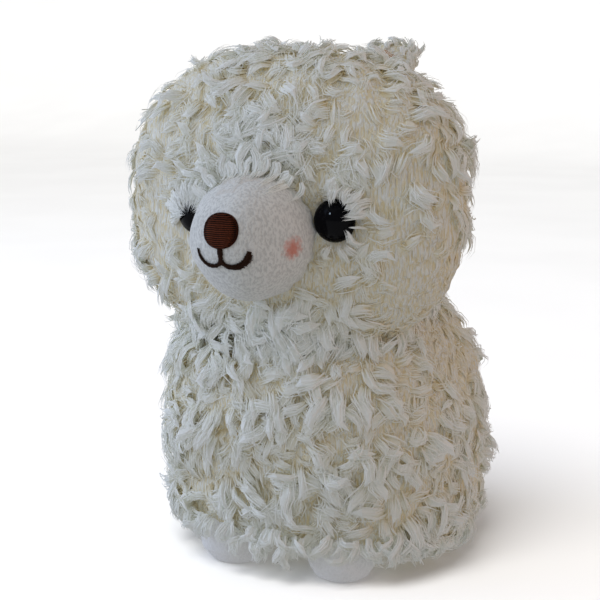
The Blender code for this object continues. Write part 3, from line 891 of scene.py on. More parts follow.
def lock_groups(form, paths, outward, half_width, thickness, tones, draw, strands, gather):
    """A thin core and loose strands over it for each lock, as groups of tubes.

    The core is a flat tube that widens from its root to the middle of its length and comes to
    a point. A strand is a flat ribbon of fibres that follows the core at a place of its own in
    the section, and waves about it. A higher `gather` draws the tips closer together. Heights
    say how deep in the pile each ring lies.
    """
    count = len(paths)
    _, across, up = carry_frames(paths, outward)
    levels = CORE_LEVELS
    end = np.broadcast_to(np.linspace(0.0, 1.0, levels + 1), (count, levels + 1))
    share = CORE_LENGTH * end
    outline = OUTLINE_START + (1.0 - OUTLINE_START) * end ** OUTLINE_POWER
    profile = np.sin(math.pi * outline) ** 0.75
    side, rise = along_path(across, share), along_path(up, share)
    centre = along_path(paths, share) - rise * (CORE_SINK * thickness[:, None, None])
    core = tube_points(centre, side, rise, CORE_WIDTH * half_width[:, None] * profile,
                       CORE_THICKNESS * thickness[:, None] * profile, CORE_SIDES)
    heights = pile_height(form, centre, share)
    groups = [tube_group(core, CORE_SIDES, tones, 0.0, 1.0, heights)]
    owner = np.repeat(np.arange(count), strands)
    total = len(owner)
    end = np.linspace(0.0, 1.0, levels + 1)[None, :]
    share = end * draw.uniform(*STRAND_LENGTH, total)[:, None]
    side, rise = along_path(across[owner], share), along_path(up[owner], share)
    loose = draw.random(total) < LOOSE_SHARE
    place = draw.uniform(-1.0, 1.0, total)
    lift = np.sqrt(1.0 - place ** 2) * draw.uniform(*STRAND_LIFT, total)
    place = place * np.where(loose, LOOSE_REACH, 1.0)
    lift = lift + loose * draw.uniform(*STRAND_LIFT, total)
    spray = np.sin(math.pi * (OUTLINE_START + gather * share ** OUTLINE_POWER)) ** 0.7
    sway = draw.uniform(*STRAND_SWAY, total)[:, None] * np.sin(
        FULL_TURN * draw.uniform(*STRAND_WAVES, total)[:, None] * share
        + draw.uniform(0.0, FULL_TURN, total)[:, None])
    shift = place[:, None] * spray + sway
    height = lift[:, None] * spray + 0.5 * sway
    middle = (along_path(paths[owner], share)
              + side * (shift * half_width[owner][:, None])[..., None]
              + rise * (height * thickness[owner][:, None])[..., None])
    facing = rise + (0.8 * place)[:, None, None] * side
    _, strand_across, strand_up = carry_frames(middle, unit(facing))
    wide = draw.uniform(*STRAND_WIDTH, total)[:, None] * MM
    wide = wide * (0.45 + 0.55 * np.sin(math.pi * np.minimum(1.0, end * 1.1 + 0.15)))
    strand = tube_points(middle, strand_across, strand_up, wide, wide * STRAND_FLATNESS,
                         STRAND_SIDES)
    strand_tones = np.clip(tones[owner] + draw.normal(0.0, STRAND_TONES, total), 0.0, 1.0)
    heights = pile_height(form, middle, share)
    groups.append(tube_group(strand, STRAND_SIDES, strand_tones, owner * 0.37, 0.2, heights))
    return groups


def away_from(points, centre, width):
    """A push away from a centre, strongest near it."""
    offsets = points - centre
    distance = np.linalg.norm(offsets, axis=-1, keepdims=True)
    return offsets / distance * bell(distance, width)


def head_flow(points, draw):
    """Headings of the head's locks: outward from the crown, away from the muzzle, with swirls."""
    outward = (points - CROWN_CENTRE) * (1.0, 1.0, 0.0)
    flow = unit(outward) * HEAD_OUTWARD + HEAD_HANG
    flow = flow + HEAD_FROM_MUZZLE * away_from(points, MUZZLE_BACK, HEAD_MUZZLE_REACH)
    flow = flow + HEAD_SWIRL * smooth_waves(points, HEAD_SWIRL_SEED, HEAD_SWIRL_SIZE)
    return flow + HEAD_STRAY * draw.normal(size=points.shape)


def beside_face(points):
    """Whether points of the head lie close round an eye or the muzzle."""
    near = MUZZLE.inside(points, BESIDE_MUZZLE)
    for side in (-1, 1):
        near |= np.linalg.norm(points - eye_centre(side), axis=-1) < BESIDE_EYE
    return near


def face_flow(points, draw):
    """Headings of the short locks beside the face: round the eyes and the muzzle, and mixed."""
    flow = FACE_FROM_MUZZLE * away_from(points, MUZZLE_BACK, FACE_MUZZLE_REACH) + FACE_HANG
    for side in (-1, 1):
        offsets = points - eye_centre(side)
        near = bell(np.linalg.norm(offsets, axis=-1, keepdims=True), FACE_EYE_REACH)
        flow = flow + FACE_ROUND_EYE * near * np.cross(unit(offsets), (0.0, float(side), 0.0))
        flow = flow + FACE_FROM_EYE * near * unit(offsets)
    return flow + FACE_STRAY * draw.normal(size=points.shape)


def mixed_flow(points, draw):
    """Headings of the crown's locks: every way, in swirls."""
    swirls = smooth_waves(points, CROWN_SWIRL_SEED, CROWN_SWIRL_SIZE)
    return swirls + CROWN_STRAY * draw.normal(size=points.shape)


def hem_flow(points, draw):
    """Headings of the hem's locks: straight down."""
    return DOWN + HEM_STRAY * draw.normal(size=points.shape)


def body_flow(points, draw):
    """Headings of the body's locks: hanging down, with swirls."""
    flow = DOWN + BODY_SWIRL * smooth_waves(points, BODY_SWIRL_SEED, BODY_SWIRL_SIZE)
    return flow + BODY_STRAY * draw.normal(size=points.shape)


def clear_of_face(paths, half_width):
    """Whether each lock keeps clear of the muzzle's dome and of the front of both eyes."""
    clear = ~np.any(MUZZLE.inside(paths, MUZZLE_ROOM), axis=1)
    for side in (-1, 1):
        place = eye_centre(side)
        flat = (paths - place) * (1.0, 0.0, 1.0)
        distance = np.linalg.norm(flat, axis=-1) - 0.35 * half_width[:, None]
        before = paths[..., 1] < place[1] + BEAD_FRONT
        clear &= ~np.any((distance < BEAD_ROOM) & before, axis=1)
    return clear


def drape(roots, tips, width, dome):
    """Tufts from roots on the head's skin to tips before a dome, as comb gives them.

    Roots and tips are places (x, z). Each tuft rises out of the fleece, runs to its tip on a
    line that bows a little, and keeps in front of the dome, whose front is a function of x
    and z.
    """
    share = np.linspace(0.0, 1.0, PATH_POINTS)
    along = tips - roots
    aside = np.stack([-along[:, 1], along[:, 0]], -1)
    curl = TUFT_BOW * np.cos(2.0 * np.arange(len(roots)))
    bow = curl[:, None] * (np.sin(math.pi * share) + 0.5 * np.sin(FULL_TURN * share))
    line = roots[:, None] + along[:, None] * share[:, None] + aside[:, None] * bow[..., None]
    x, z = line[..., 0], line[..., 1]
    skin = np.stack([x, np.full(x.shape, HEAD_CENTRE[1] - HEAD_LOW[1]), z], -1)
    for _ in range(4):
        skin[..., 1] = HEAD.skin(unit(skin - np.array(HEAD_CENTRE)))[..., 1]
    forward = np.sin(math.pi * (0.02 + 0.70 * share)) ** 0.8
    cover = skin[..., 1] + TUFT_ROOT_DEPTH - TUFT_FORWARD * forward
    skin[..., 1] = np.minimum(cover, dome(x, z) - TUFT_ROOM)
    return skin, np.broadcast_to(FORWARD, skin.shape), width, width * TUFT_FLATNESS


def eye_dome(side):
    """The front of one eye's bead as a function of x and z, far back outside its outline."""
    place = eye_centre(side)

    def front(x, z):
        """The bead's centre less its depth times the root of one less the reach squared."""
        away = ((x - place[0]) ** 2 + (z - place[2]) ** 2) / EYE_RADIUS ** 2
        level = np.sqrt(np.maximum(0.0, 1.0 - away))
        return np.where(away < 1.0, place[1] - EYE_DEPTH * level, 1.0)
    return front


def eye_wisps(side):
    """Thin wisps over one eye's outer edge."""
    place = eye_centre(side)
    table = np.array(EYE_WISPS) * MM
    roots = np.stack([place[0] + side * table[:, 0], place[2] + table[:, 1]], -1)
    tips = np.stack([place[0] + side * table[:, 2], place[2] + table[:, 3]], -1)
    return drape(roots, tips, table[:, 4], eye_dome(side))


def ring_tufts(centre, side, row, dome):
    """Tufts that hang inward over a round edge, at turns from its top toward one side."""
    first, last, count, root_reach, tip_reach, width, seed = row
    draw = np.random.default_rng(seed)
    turns = np.linspace(first, last, count)

    def ring(turn, reach):
        """Places (x, z) at turns from the top, at a reach from the centre."""
        return np.stack([centre[0] + side * reach * np.sin(turn),
                         centre[2] + reach * np.cos(turn)], -1)
    start = turns + draw.normal(0.0, TUFT_TURN_SPREADS[0], count)
    end = start + draw.normal(0.0, TUFT_TURN_SPREADS[1], count)
    roots = ring(start, root_reach * draw.uniform(*TUFT_ROOT_SHARES, count))
    tips = ring(end, tip_reach + draw.normal(0.0, TUFT_TIP_SPREAD, count))
    return drape(roots, tips, width * draw.uniform(*TUFT_WIDTH_SHARES, count), dome)


def clear_of_linings(paths):
    """Whether each lock keeps from in front of the ears' linings."""
    clear = np.ones(len(paths), bool)
    for node in ("ear_lining_left", "ear_lining_right"):
        low, high = (np.array(corner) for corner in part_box(node))
        away = np.abs(paths - (low + high) / 2.0) / (high - low)
        before = (paths[..., 1] < high[1]) & (paths[..., 1] > low[1] - LINING_ROOM)
        within = (away[..., 0] < LINING_SHARES[0]) & (away[..., 2] < LINING_SHARES[1])
        clear &= ~np.any(before & within, axis=1)
    return clear


def clear_of_feet(paths):
    """Whether each lock keeps off the feet."""
    clear = np.ones(len(paths), bool)
    for x, y in FEET.values():
        foot = Form((x, y, FOOT_CENTRE_HEIGHT), FOOT_LOW, FOOT_HIGH, SOFT)
        clear &= ~np.any(foot.inside(paths[:, 2:], FOOT_ROOM), axis=1)
    return clear


def pressed(points):
    """How flat the pile lies at points, 0 to 1: round the neck, at one corner and one side."""
    level = points[:, 2] - NECK_CENTRE[2]
    neck = NECK_FLATNESS * bell(level - NECK_BELL[0], NECK_BELL[1])
    corner = np.linalg.norm((points - HEAD_CORNER) * (1.0, 0.5, 1.0), axis=-1)
    side = np.clip((points[:, 0] - SIDE_START) / SIDE_RUN, 0.0, 1.0)
    side = SIDE_FLATNESS * side * bell(level - SIDE_BELL[0], SIDE_BELL[1])
    return np.maximum(np.maximum(neck, side), CORNER_FLATNESS * bell(corner, CORNER_BELL))


def comb(form, ways, flow_of, seed, sizes, keep, scale=1.0, root=ROOT_DEPTH):
    """Comb locks over a form: paths, ways out, half widths and thicknesses of those kept.

    Locks that `keep` turns away are tried again shorter and slimmer, so that the fleece stays
    thick beside the face and the feet.
    """
    draw = np.random.default_rng(seed)
    roots = form.skin(ways)
    flow = unit(flow_of(roots, draw))
    normal = form.normals(ways)
    flow = unit(flow - normal * np.sum(flow * normal, -1, keepdims=True))
    count = len(ways)
    swell = smooth_waves(roots, seed + 5, SWELL_SIZE)[..., 0]
    length = sizes.lock_length * scale * draw.uniform(*LENGTH_SHARES, count)
    length = length * (1.0 + SWELL_LENGTH * swell)
    half_width = sizes.lock_width / 2.0 * scale * draw.uniform(*WIDTH_SHARES, count)
    thickness = half_width * draw.uniform(*THICKNESS_SHARES, count)
    rise = draw.normal(*RISE, count) + SWELL_RISE * swell
    flat = pressed(roots)
    rise = rise * (1.0 - FLAT_RISE * flat)
    length = length * (1.0 - FLAT_LENGTH * flat)
    fall = draw.normal(*FALL, count) * (1.0 - FLAT_FALL * flat)
    turn = draw.normal(0.0, sizes.curl, count)
    wave = draw.uniform(*WAVE_RANGE, count)
    phase = draw.uniform(0.0, FULL_TURN, count)
    done = np.zeros(count, bool)
    paths = np.zeros((count, PATH_POINTS, 3))
    outward = np.zeros((count, PATH_POINTS, 3))
    for shorter, slimmer in TRIES:
        left = np.flatnonzero(~done)
        trial, out = lock_paths(form, ways[left], flow[left], length[left] * shorter,
                                -root, rise[left], fall[left], turn[left],
                                wave[left], phase[left], PATH_POINTS)
        good = keep(trial, half_width[left] * slimmer)
        chosen = left[good]
        paths[chosen], outward[chosen] = trial[good], out[good]
        half_width[chosen] *= slimmer
        thickness[chosen] *= slimmer
        done[chosen] = True
    return paths[done], outward[done], half_width[done], thickness[done]


def keep_off_floor(points, margin=FLOOR_ROOM):
    """Points with none below the floor."""
    points[..., 2] = np.maximum(points[..., 2], margin)
    return points


def make_pile(name, form, combed, chosen, seed, strands, material, nodes, gather=GATHERED):
    """One piece of fleece from the chosen locks."""
    draw = np.random.default_rng(seed)
    paths, outward, half_width, thickness = (part[chosen] for part in combed)
    tones = draw.random(len(paths))
    groups = lock_groups(form, paths, outward, half_width, thickness, tones, draw, strands,
                         gather)
    points, faces, maps = join_tubes(groups)
    keep_off_floor(points)
    thing = build_mesh(name, points, faces, maps, material, smooth=False)
    return finish_piece(thing, nodes)


def fleece_material(colours):
    """Acrylic curly fleece, brushed and tumbled: pale silky tips over warm roots, with painted shade deep
    in the pile.

    The fibres run along each lock, so the light breaks into fine streaks along it.
    """
    material, tree, shader = start_material(
        "acrylic_curly_fleece", *FLEECE_FINISH)
    pile = add_node(tree, "ShaderNodeUVMap", {"uv_map": "Pile"})
    fibres = add_node(tree, "ShaderNodeUVMap", {"uv_map": "Fibres"})
    split = add_node(tree, "ShaderNodeSeparateXYZ", None, {0: pile.outputs[0]})
    tone, height = split.outputs[0], split.outputs[1]
    place = add_node(tree, "ShaderNodeTexCoord").outputs["Object"]
    streak_place = add_node(tree, "ShaderNodeVectorMath", {"operation": "MULTIPLY"},
                            {0: fibres.outputs[0], 1: FIBRE_STREAKS})
    streaks = add_node(tree, "ShaderNodeTexNoise", {"noise_dimensions": "2D"},
                       {"Vector": streak_place.outputs[0], "Scale": 1.0, "Detail": 2.0})
    patches = add_node(tree, "ShaderNodeTexNoise", None,
                       {"Vector": place, "Scale": repeats(FLEECE_PATCH), "Detail": 2.0})
    # Colour by height: the roots' warm tint with painted shade deep in the pile, fading to the lengths and
    # then to pale tips.
    depth = spread(tree, height, *ROOT_TINT_AND_SHADE_FADE, 0.0, 1.0)
    base = blend_colours(tree, depth, colours.root, colours.middle)
    ends = spread(tree, height, *TIP_FADE, 0.0, 1.0)
    base = blend_colours(tree, ends, base, colours.tip)
    warm = spread(tree, patches.outputs["Fac"], *PATCH_RANGE, 0.0, PATCH_STRENGTH)
    base = blend_colours(tree, warm, base, colours.middle)
    shade = spread(tree, streaks.outputs["Fac"], *STREAK_RANGE, STREAK_SHADE, 1.0)
    own_shade = spread(tree, tone, 0.0, 1.0, LOCK_SHADE, 1.0, False)
    shade = arithmetic(tree, "MULTIPLY", shade, own_shade)
    grey = add_node(tree, "ShaderNodeCombineColor", None, {0: shade, 1: shade, 2: shade})
    base = blend_colours(tree, 1.0, base, grey.outputs[0], "MULTIPLY")
    tree.links.new(base, shader.inputs["Base Color"])
    raise_surface(tree, shader, streaks.outputs["Fac"], STREAK_DEPTH, STREAK_STRENGTH)
    return material


def backing_material(colours):
    """Polyester knit backing in the roots' warm colours, seen only between locks as a dull fuzz
    that runs downward like the pile over it; its warm tan is painted shade for the gaps.
    """
    material, tree, shader = start_material("polyester_knit_backing", *BACKING_FINISH)
    place = add_node(tree, "ShaderNodeTexCoord").outputs["Object"]
    drawn = add_node(tree, "ShaderNodeVectorMath", {"operation": "MULTIPLY"},
                     {0: place, 1: tuple(repeats(size) for size in BACKING_DASH)})
    fuzz = add_node(tree, "ShaderNodeTexNoise", None,
                    {"Vector": drawn.outputs[0], "Scale": 1.0, "Detail": 3.0, "Distortion": 0.8})
    # Painted shade: the roots' warm colours make the gaps between locks read as shaded.
    mixed = blend_colours(tree, spread(tree, fuzz.outputs["Fac"], *BACKING_RANGE, 0.0, 1.0),
                          colours.root, colours.middle)
    tree.links.new(mixed, shader.inputs["Base Color"])
    raise_surface(tree, shader, fuzz.outputs["Fac"], BACKING_DEPTH_OF_FUZZ)
    return material


# ---------------------------------------------------------------- closed grids

def closed_grid(points):
    """Faces of a closed skin from rows of points that go round, with a point at each end.

    The rows run from the first pole to the last; each row goes round once without repeating
    its first point. Returns all points, the two poles last, and the lists of faces.
    """
    rows, columns = points.shape[:2]
    index = np.arange(rows * columns).reshape(rows, columns)
    after = np.roll(index, -1, axis=1)
    quads = np.stack([index[:-1], after[:-1], after[1:], index[1:]], axis=-1).reshape(-1, 4)
    first, last = rows * columns, rows * columns + 1
    start = np.stack([np.full(columns, first), after[0], index[0]], axis=-1)
    end = np.stack([np.full(columns, last), index[-1], after[-1]], axis=-1)
    poles = np.stack([points[0].mean(axis=0), points[-1].mean(axis=0)])
    return np.concatenate([points.reshape(-1, 3), poles]), [quads, start, end]


def grid_places(rows, columns):
    """A map for a closed grid: U goes once round and V from the first pole to the last."""
    u = np.arange(columns) / columns
    v = (np.arange(rows) + 1.0) / (rows + 1.0)
    step = 1.0 / columns
    low_u = np.broadcast_to(u, (rows - 1, columns))
    low_v = np.broadcast_to(v[:-1, None], (rows - 1, columns))
    high_v = np.broadcast_to(v[1:, None], (rows - 1, columns))
    quads = np.stack([np.stack([low_u, low_v], -1), np.stack([low_u + step, low_v], -1),
                      np.stack([low_u + step, high_v], -1), np.stack([low_u, high_v], -1)], axis=2)
    none, full = np.zeros(columns), np.ones(columns)
    start = np.stack([np.stack([u + step / 2.0, none], -1),
                      np.stack([u + step, full * v[0]], -1), np.stack([u, full * v[0]], -1)], axis=1)
    end = np.stack([np.stack([u + step / 2.0, full], -1),
                    np.stack([u, full * v[-1]], -1), np.stack([u + step, full * v[-1]], -1)], axis=1)
    return np.concatenate([quads.reshape(-1, 2), start.reshape(-1, 2), end.reshape(-1, 2)])


def make_closed(name, points, material):
    """An object from a closed grid, with its map named Cloth."""
    rows, columns = points.shape[:2]
    all_points, faces = closed_grid(points)
    return build_mesh(name, all_points, faces, {"Cloth": grid_places(rows, columns)}, material)


def ball_ways(rows, columns, axis="z"):
    """Unit ways over a ball from one pole to the other, counter-clockwise seen from outside.

    With the axis z the poles are at the bottom and the top; with y the first is at the front.
    """
    tilt = math.pi * (np.arange(rows) + 1.0) / (rows + 1.0)
    turn = FULL_TURN * np.arange(columns) / columns
    ring, height = np.sin(tilt)[:, None], -np.cos(tilt)[:, None]
    a, b = ring * np.cos(turn), ring * np.sin(turn)
    c = height * np.ones(columns)
    return np.stack([a, b, c], -1) if axis == "z" else np.stack([b, c, a], -1)


# ---------------------------------------------------------------- values that a user would change

class PlushSizes(bpy.types.PropertyGroup):
    """Sizes of the dressing."""

    lock_length: bpy.props.FloatProperty(
        name="Lock length", description="Length of a lock of fleece from root to tip",
        default=0.0128, min=0.004, max=0.04, unit="LENGTH", precision=4)
    lock_width: bpy.props.FloatProperty(
        name="Lock width", description="Width of a lock of fleece at its widest",
        default=0.0044, min=0.001, max=0.02, unit="LENGTH", precision=4)
    root_spacing: bpy.props.FloatProperty(
        name="Root spacing", description="Distance between neighbouring locks' roots",
        default=0.0040, min=0.002, max=0.02, unit="LENGTH", precision=4)
    curl: bpy.props.FloatProperty(
        name="Curl", description="How far a lock's heading turns over its length",
        default=1.0, min=0.0, max=3.0, subtype="ANGLE")
    strands: bpy.props.IntProperty(
        name="Strands", description="Loose strands round each lock", default=9, min=2, max=30)


def colour_property(name, description, code):
    """A colour that a user can change."""
    return bpy.props.FloatVectorProperty(name=name, description=description, size=4,
                                         subtype="COLOR", default=linear(code), min=0.0, max=1.0)


class PlushColours(bpy.types.PropertyGroup):
    """Colours of the dressing."""

    tip: colour_property("Fleece tips", "Colour of the locks' tips", "#FBFCF8")
    middle: colour_property("Fleece lengths", "Colour of the locks' lengths", "#FAFAF2")
    # The roots' colour is a warm tint and painted shade: the fleece turns to it deep in the pile, and the
    # backing between locks takes it.
    root: colour_property("Fleece roots", "Colour of the roots and the backing", "#EFE0B4")
    muzzle: colour_property("Muzzle", "Colour of the short-pile cloth", "#E8E9E5")
    blush: colour_property("Blush", "Colour of the cheeks' blush", "#D2694A")
    # The nose colour is painted along the crests of the dark threads as a highlight.
    nose: colour_property("Nose thread", "Colour of the nose's thread", "#824228")
    mouth: colour_property("Mouth thread", "Colour of the mouth's thread", "#22130C")
    eye: colour_property("Eyes", "Colour of the bead eyes", "#060607")
    lining: colour_property("Ear lining", "Colour of the ears' lining", "#C79C74")
    floor: colour_property("Floor", "Colour of the floor", "#F4F3F1")


def chosen_sizes():
    """The sizes in use."""
    return bpy.context.scene.plush_sizes


def chosen_colours():
    """The colours in use."""
    return bpy.context.scene.plush_colours


# ---------------------------------------------------------------- pieces

class PLUSH_OT_backing(bpy.types.Operator):
    """Make the covers' backing under the fleece of the head and the body"""

    bl_idname = "plush.backing"
    bl_label = "Backing"

    def execute(self, context):
        material = backing_material(chosen_colours())
        for name, form, node in (("head_backing", HEAD, "head_fleece"),
                                 ("body_backing", BODY, "body_fleece")):
            ways = ball_ways(*BACKING_GRID)
            points = form.skin(ways, -BACKING_DEPTH)
            fuzz = BACKING_FUZZ * smooth_waves(points, BACKING_SEED, BACKING_FUZZ_SIZE)
            points = points + ways * fuzz[..., :1]
            keep_off_floor(points, BACKING_LIFT)
            thing = make_closed(name, points, material)
            finish_piece(thing, (node,))
        return {"FINISHED"}


class PLUSH_OT_fleece(bpy.types.Operator):
    """Comb the fleece of the head and the body, lock by lock"""

    bl_idname = "plush.fleece"
    bl_label = "Curly fleece"

    def execute(self, context):
        material = fleece_material(chosen_colours())
        size = chosen_sizes()

        def keep_on_head(paths, half_width):
            """Locks clear of the face and of the ears' linings."""
            return clear_of_face(paths, half_width) & clear_of_linings(paths)

        def keep_on_body(paths, half_width):
            """Locks clear of the feet, the floor and the muzzle."""
            face = ~np.any(MUZZLE.inside(paths, MUZZLE_ROOM), axis=1)
            low = paths[..., 2].min(axis=1) > 0.0
            return clear_of_feet(paths) & low & face

        def keep_at_hem(paths, half_width):
            """Locks that end over the floor, and higher over a foot."""
            low = paths[..., 2].min(axis=1)
            over_foot = np.zeros(len(paths), bool)
            for x, y in FEET.values():
                tip = paths[:, -1]
                over_foot |= (np.abs(tip[:, 0] - x) < FOOT_HALF_SPAN) & (tip[:, 1] * y > 0.0)
            lowest = np.where(over_foot, HEM_OVER_FOOT, HEM_OVER_FLOOR)
            return (low > lowest) & clear_of_feet(paths)

        draw = np.random.default_rng(ROOT_SEED)
        head_ways = scatter_roots(HEAD, size.root_spacing, draw)
        hidden = BODY.inside(HEAD.skin(head_ways), -HIDDEN_DEPTH)
        head = comb(HEAD, head_ways[~hidden], head_flow, HEAD_SEED, size, keep_on_head)
        short_ways = scatter_roots(HEAD, FACE_SPACING, draw)
        short_ways = short_ways[beside_face(HEAD.skin(short_ways))]
        short = comb(HEAD, short_ways, face_flow, FACE_SEED, size, keep_on_head,
                     FACE_SCALE, FACE_ROOT_DEPTH)
        neck_ways = scatter_roots(NECK, size.root_spacing * NECK_SPACING_SHARE, draw)
        places = NECK.skin(neck_ways)
        level = np.abs(places[:, 2] - NECK_CENTRE[2] - NECK_BAND_MIDDLE) < NECK_BAND_HALF
        hidden = HEAD.inside(places, -NECK_HIDDEN_DEPTH) | BODY.inside(places, -NECK_HIDDEN_DEPTH)
        neck = comb(NECK, neck_ways[level & ~hidden], body_flow, NECK_SEED, size,
                    keep_on_body, NECK_SCALE)
        crown_ways = scatter_roots(HEAD, CROWN_SPACING, draw)
        crown_ways = crown_ways[crown_ways[:, 2] > draw.uniform(*CROWN_EDGE, len(crown_ways))]
        crown = comb(HEAD, crown_ways, mixed_flow, CROWN_SEED, size, keep_on_head, CROWN_SCALE)
        head = tuple(np.concatenate(parts) for parts in zip(head, short, neck, crown))
        body_ways = scatter_roots(BODY, size.root_spacing, draw)
        roots = BODY.skin(body_ways)
        hidden = HEAD.inside(roots, -HIDDEN_DEPTH) | (roots[..., 2] < BODY_LOWEST_ROOT)
        body = comb(BODY, body_ways[~hidden], body_flow, BODY_SEED, size, keep_on_body)
        hem_ways = scatter_roots(HEM, HEM_SPACING, draw)
        level = HEM.skin(hem_ways)[:, 2]
        hem_ways = hem_ways[(level > HEM_BAND[0]) & (level < HEM_BAND[1])]
        hem = comb(HEM, hem_ways, hem_flow, HEM_SEED, size, keep_at_hem, HEM_SCALE,
                   HEM_ROOT_DEPTH)
        body = tuple(np.concatenate(parts) for parts in zip(body, hem))
        for label, form, combed, node, middle in (
                ("head", HEAD, head, "head_fleece", HEAD_DIVIDE),
                ("body", BODY, body, "body_fleece", BODY_DIVIDE)):
            x, y = combed[0][:, 0, 0], combed[0][:, 0, 1]
            quarters = {
                "front_left": (x > 0.0) & (y < middle), "front_right": (x <= 0.0) & (y < middle),
                "back_left": (x > 0.0) & (y >= middle), "back_right": (x <= 0.0) & (y >= middle),
            }
            for number, (quarter, chosen) in enumerate(quarters.items()):
                make_pile(f"{label}_locks_{quarter}", form, combed, chosen,
                          QUARTER_SEED + number, size.strands, material, (node,))
        left, right = eye_centre(1), eye_centre(-1)
        tufts = (
            ring_tufts(left, 1, LEFT_BROW, eye_dome(1)),
            ring_tufts(right, -1, RIGHT_BROW, eye_dome(-1)),
            ring_tufts(left, 1, LEFT_CHEEK, eye_dome(1)),
            ring_tufts(MUZZLE_CENTRE, 1, MUZZLE_EDGE, lambda x, z: front_of(MUZZLE, x, z)),
        )
        wisps = (eye_wisps(1), eye_wisps(-1))
        for name, groups, strands in (("brow_tufts", tufts, TUFT_STRANDS),
                                      ("brow_wisps", wisps, WISP_STRANDS)):
            combed = tuple(np.concatenate(parts) for parts in zip(*groups))
            make_pile(name, HEAD, combed, np.ones(len(combed[0]), bool), TUFT_SEED, strands,
                      material, ("head_fleece",), TUFT_GATHERED)
        return {"FINISHED"}


class PLUSH_OT_ears(bpy.types.Operator):
    """Make the ears and the tail: small padded leaves with short locks, and the ears' linings"""

    bl_idname = "plush.ears"
    bl_label = "Ears and tail"

    def execute(self, context):
        backing = backing_material(chosen_colours())
        fleece = fleece_material(chosen_colours())
        size = chosen_sizes()
        for number, node in enumerate(("ear_left", "ear_right", "tail")):
            low, high = (np.array(corner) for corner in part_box(node))
            centre, half = (low + high) / 2.0, (high - low) / 2.0
            form = Form(centre, half, half, ROUND if node == "tail" else SOFT)
            pad = form.skin(ball_ways(*LEAF_GRID), -LEAF_PAD_DEPTH)
            finish_piece(make_closed(f"{node}_pad", pad, backing), (node,))

            def leaf_flow(points, draw, aim=TAIL_HANG if node == "tail" else EAR_HANG):
                return np.array(aim) + LEAF_STRAY * draw.normal(size=points.shape)

            def keep_all(paths, half_width):
                return np.ones(len(paths), bool)

            draw = np.random.default_rng(LEAF_ROOT_SEED + number)
            roots = scatter_roots(form, TAIL_SPACING if node == "tail" else EAR_SPACING, draw)
            if node != "tail":
                skin = form.skin(roots)
                front = np.abs(skin[:, 0] - centre[0]) < EAR_FRONT_HALF
                front &= (roots[:, 1] < EAR_FRONT_WAY) & (skin[:, 2] > centre[2] - EAR_FRONT_DROP)
                roots = roots[~front]
            combed = comb(form, roots, leaf_flow, LEAF_SEED + number, size, keep_all,
                          LEAF_SCALE, LEAF_ROOT_DEPTH)
            make_pile(f"{node}_locks", form, combed, np.ones(len(combed[0]), bool),
                      LEAF_PILE_SEED + number, LEAF_STRANDS, fleece, (node,))
        lining = lining_material(chosen_colours())
        for node in ("ear_lining_left", "ear_lining_right"):
            low, high = (np.array(corner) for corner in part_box(node))
            centre, half = (low + high) / 2.0, (high - low) / 2.0
            form = Form(centre, half, half, SOFT)
            ways = ball_ways(*LINING_GRID)
            points = form.skin(ways)
            lumps = smooth_waves(points, LINING_SEED, LINING_LUMP_SIZE)[..., :1]
            points = points + ways * LINING_LUMP * lumps
            finish_piece(make_closed(f"{node}_pile", points, lining), (node,))
        return {"FINISHED"}


def short_pile_bump(tree, place):
    """Height of a velour's short pile: fine upright dashes, broken up by fuzz."""
    rows = add_node(tree, "ShaderNodeVectorMath", {"operation": "MULTIPLY"},
                    {0: place, 1: tuple(repeats(size) for size in VELOUR_DASH)})
    dashes = add_node(tree, "ShaderNodeTexNoise", None,
                      {"Vector": rows.outputs[0], "Scale": 1.0, "Detail": 2.0, "Roughness": 0.6})
    fuzz = add_node(tree, "ShaderNodeTexNoise", None,
                    {"Vector": place, "Scale": repeats(VELOUR_FUZZ), "Detail": 2.0})
    return arithmetic(tree, "ADD", dashes.outputs["Fac"],
                      arithmetic(tree, "MULTIPLY", fuzz.outputs["Fac"], 0.5)), dashes


def short_pile_material(name, colour, blush=None, shade_low=VELOUR_SHADE):
    """Polyester velour, knitted and cropped: a matt dense pile of fine dashes, soft at its edge.

    The blush is sprayed on: a spot with a ragged soft edge, the same on both cheeks.
    """
    material, tree, shader = start_material(name, *VELOUR_FINISH)
    place = add_node(tree, "ShaderNodeTexCoord").outputs["Object"]
    height, dashes = short_pile_bump(tree, place)
    shade = spread(tree, dashes.outputs["Fac"], *VELOUR_RANGE, shade_low, 1.0)
    grey = add_node(tree, "ShaderNodeCombineColor", None, {0: shade, 1: shade, 2: shade})
    base = blend_colours(tree, 1.0, colour, grey.outputs[0], "MULTIPLY")
    if blush is not None:
        ragged = add_node(tree, "ShaderNodeTexNoise", None,
                          {"Vector": place, "Scale": repeats(BLUSH_SPECK), "Detail": 2.0})
        split = add_node(tree, "ShaderNodeSeparateXYZ", None, {0: place})
        mirrored = add_node(tree, "ShaderNodeCombineXYZ", None,
                            {0: arithmetic(tree, "ABSOLUTE", split.outputs[0]),
                             1: split.outputs[1], 2: split.outputs[2]})
        away = add_node(tree, "ShaderNodeVectorMath", {"operation": "DISTANCE"},
                        {0: mirrored.outputs[0], 1: BLUSH_PLACE})
        edge = arithmetic(tree, "ADD", away.outputs["Value"],
                          arithmetic(tree, "MULTIPLY", ragged.outputs["Fac"], BLUSH_RAGGED))
        mask = spread(tree, edge, *BLUSH_FADE, BLUSH_STRENGTH, 0.0)
        base = blend_colours(tree, mask, base, blush)
    tree.links.new(base, shader.inputs["Base Color"])
    raise_surface(tree, shader, height, VELOUR_DEPTH)
    return material


def lining_material(colours):
    """Polyester velour of the ears' linings, dyed tan and cropped: matt, darker in its dashes."""
    return short_pile_material("tan_velour_lining", colours.lining)


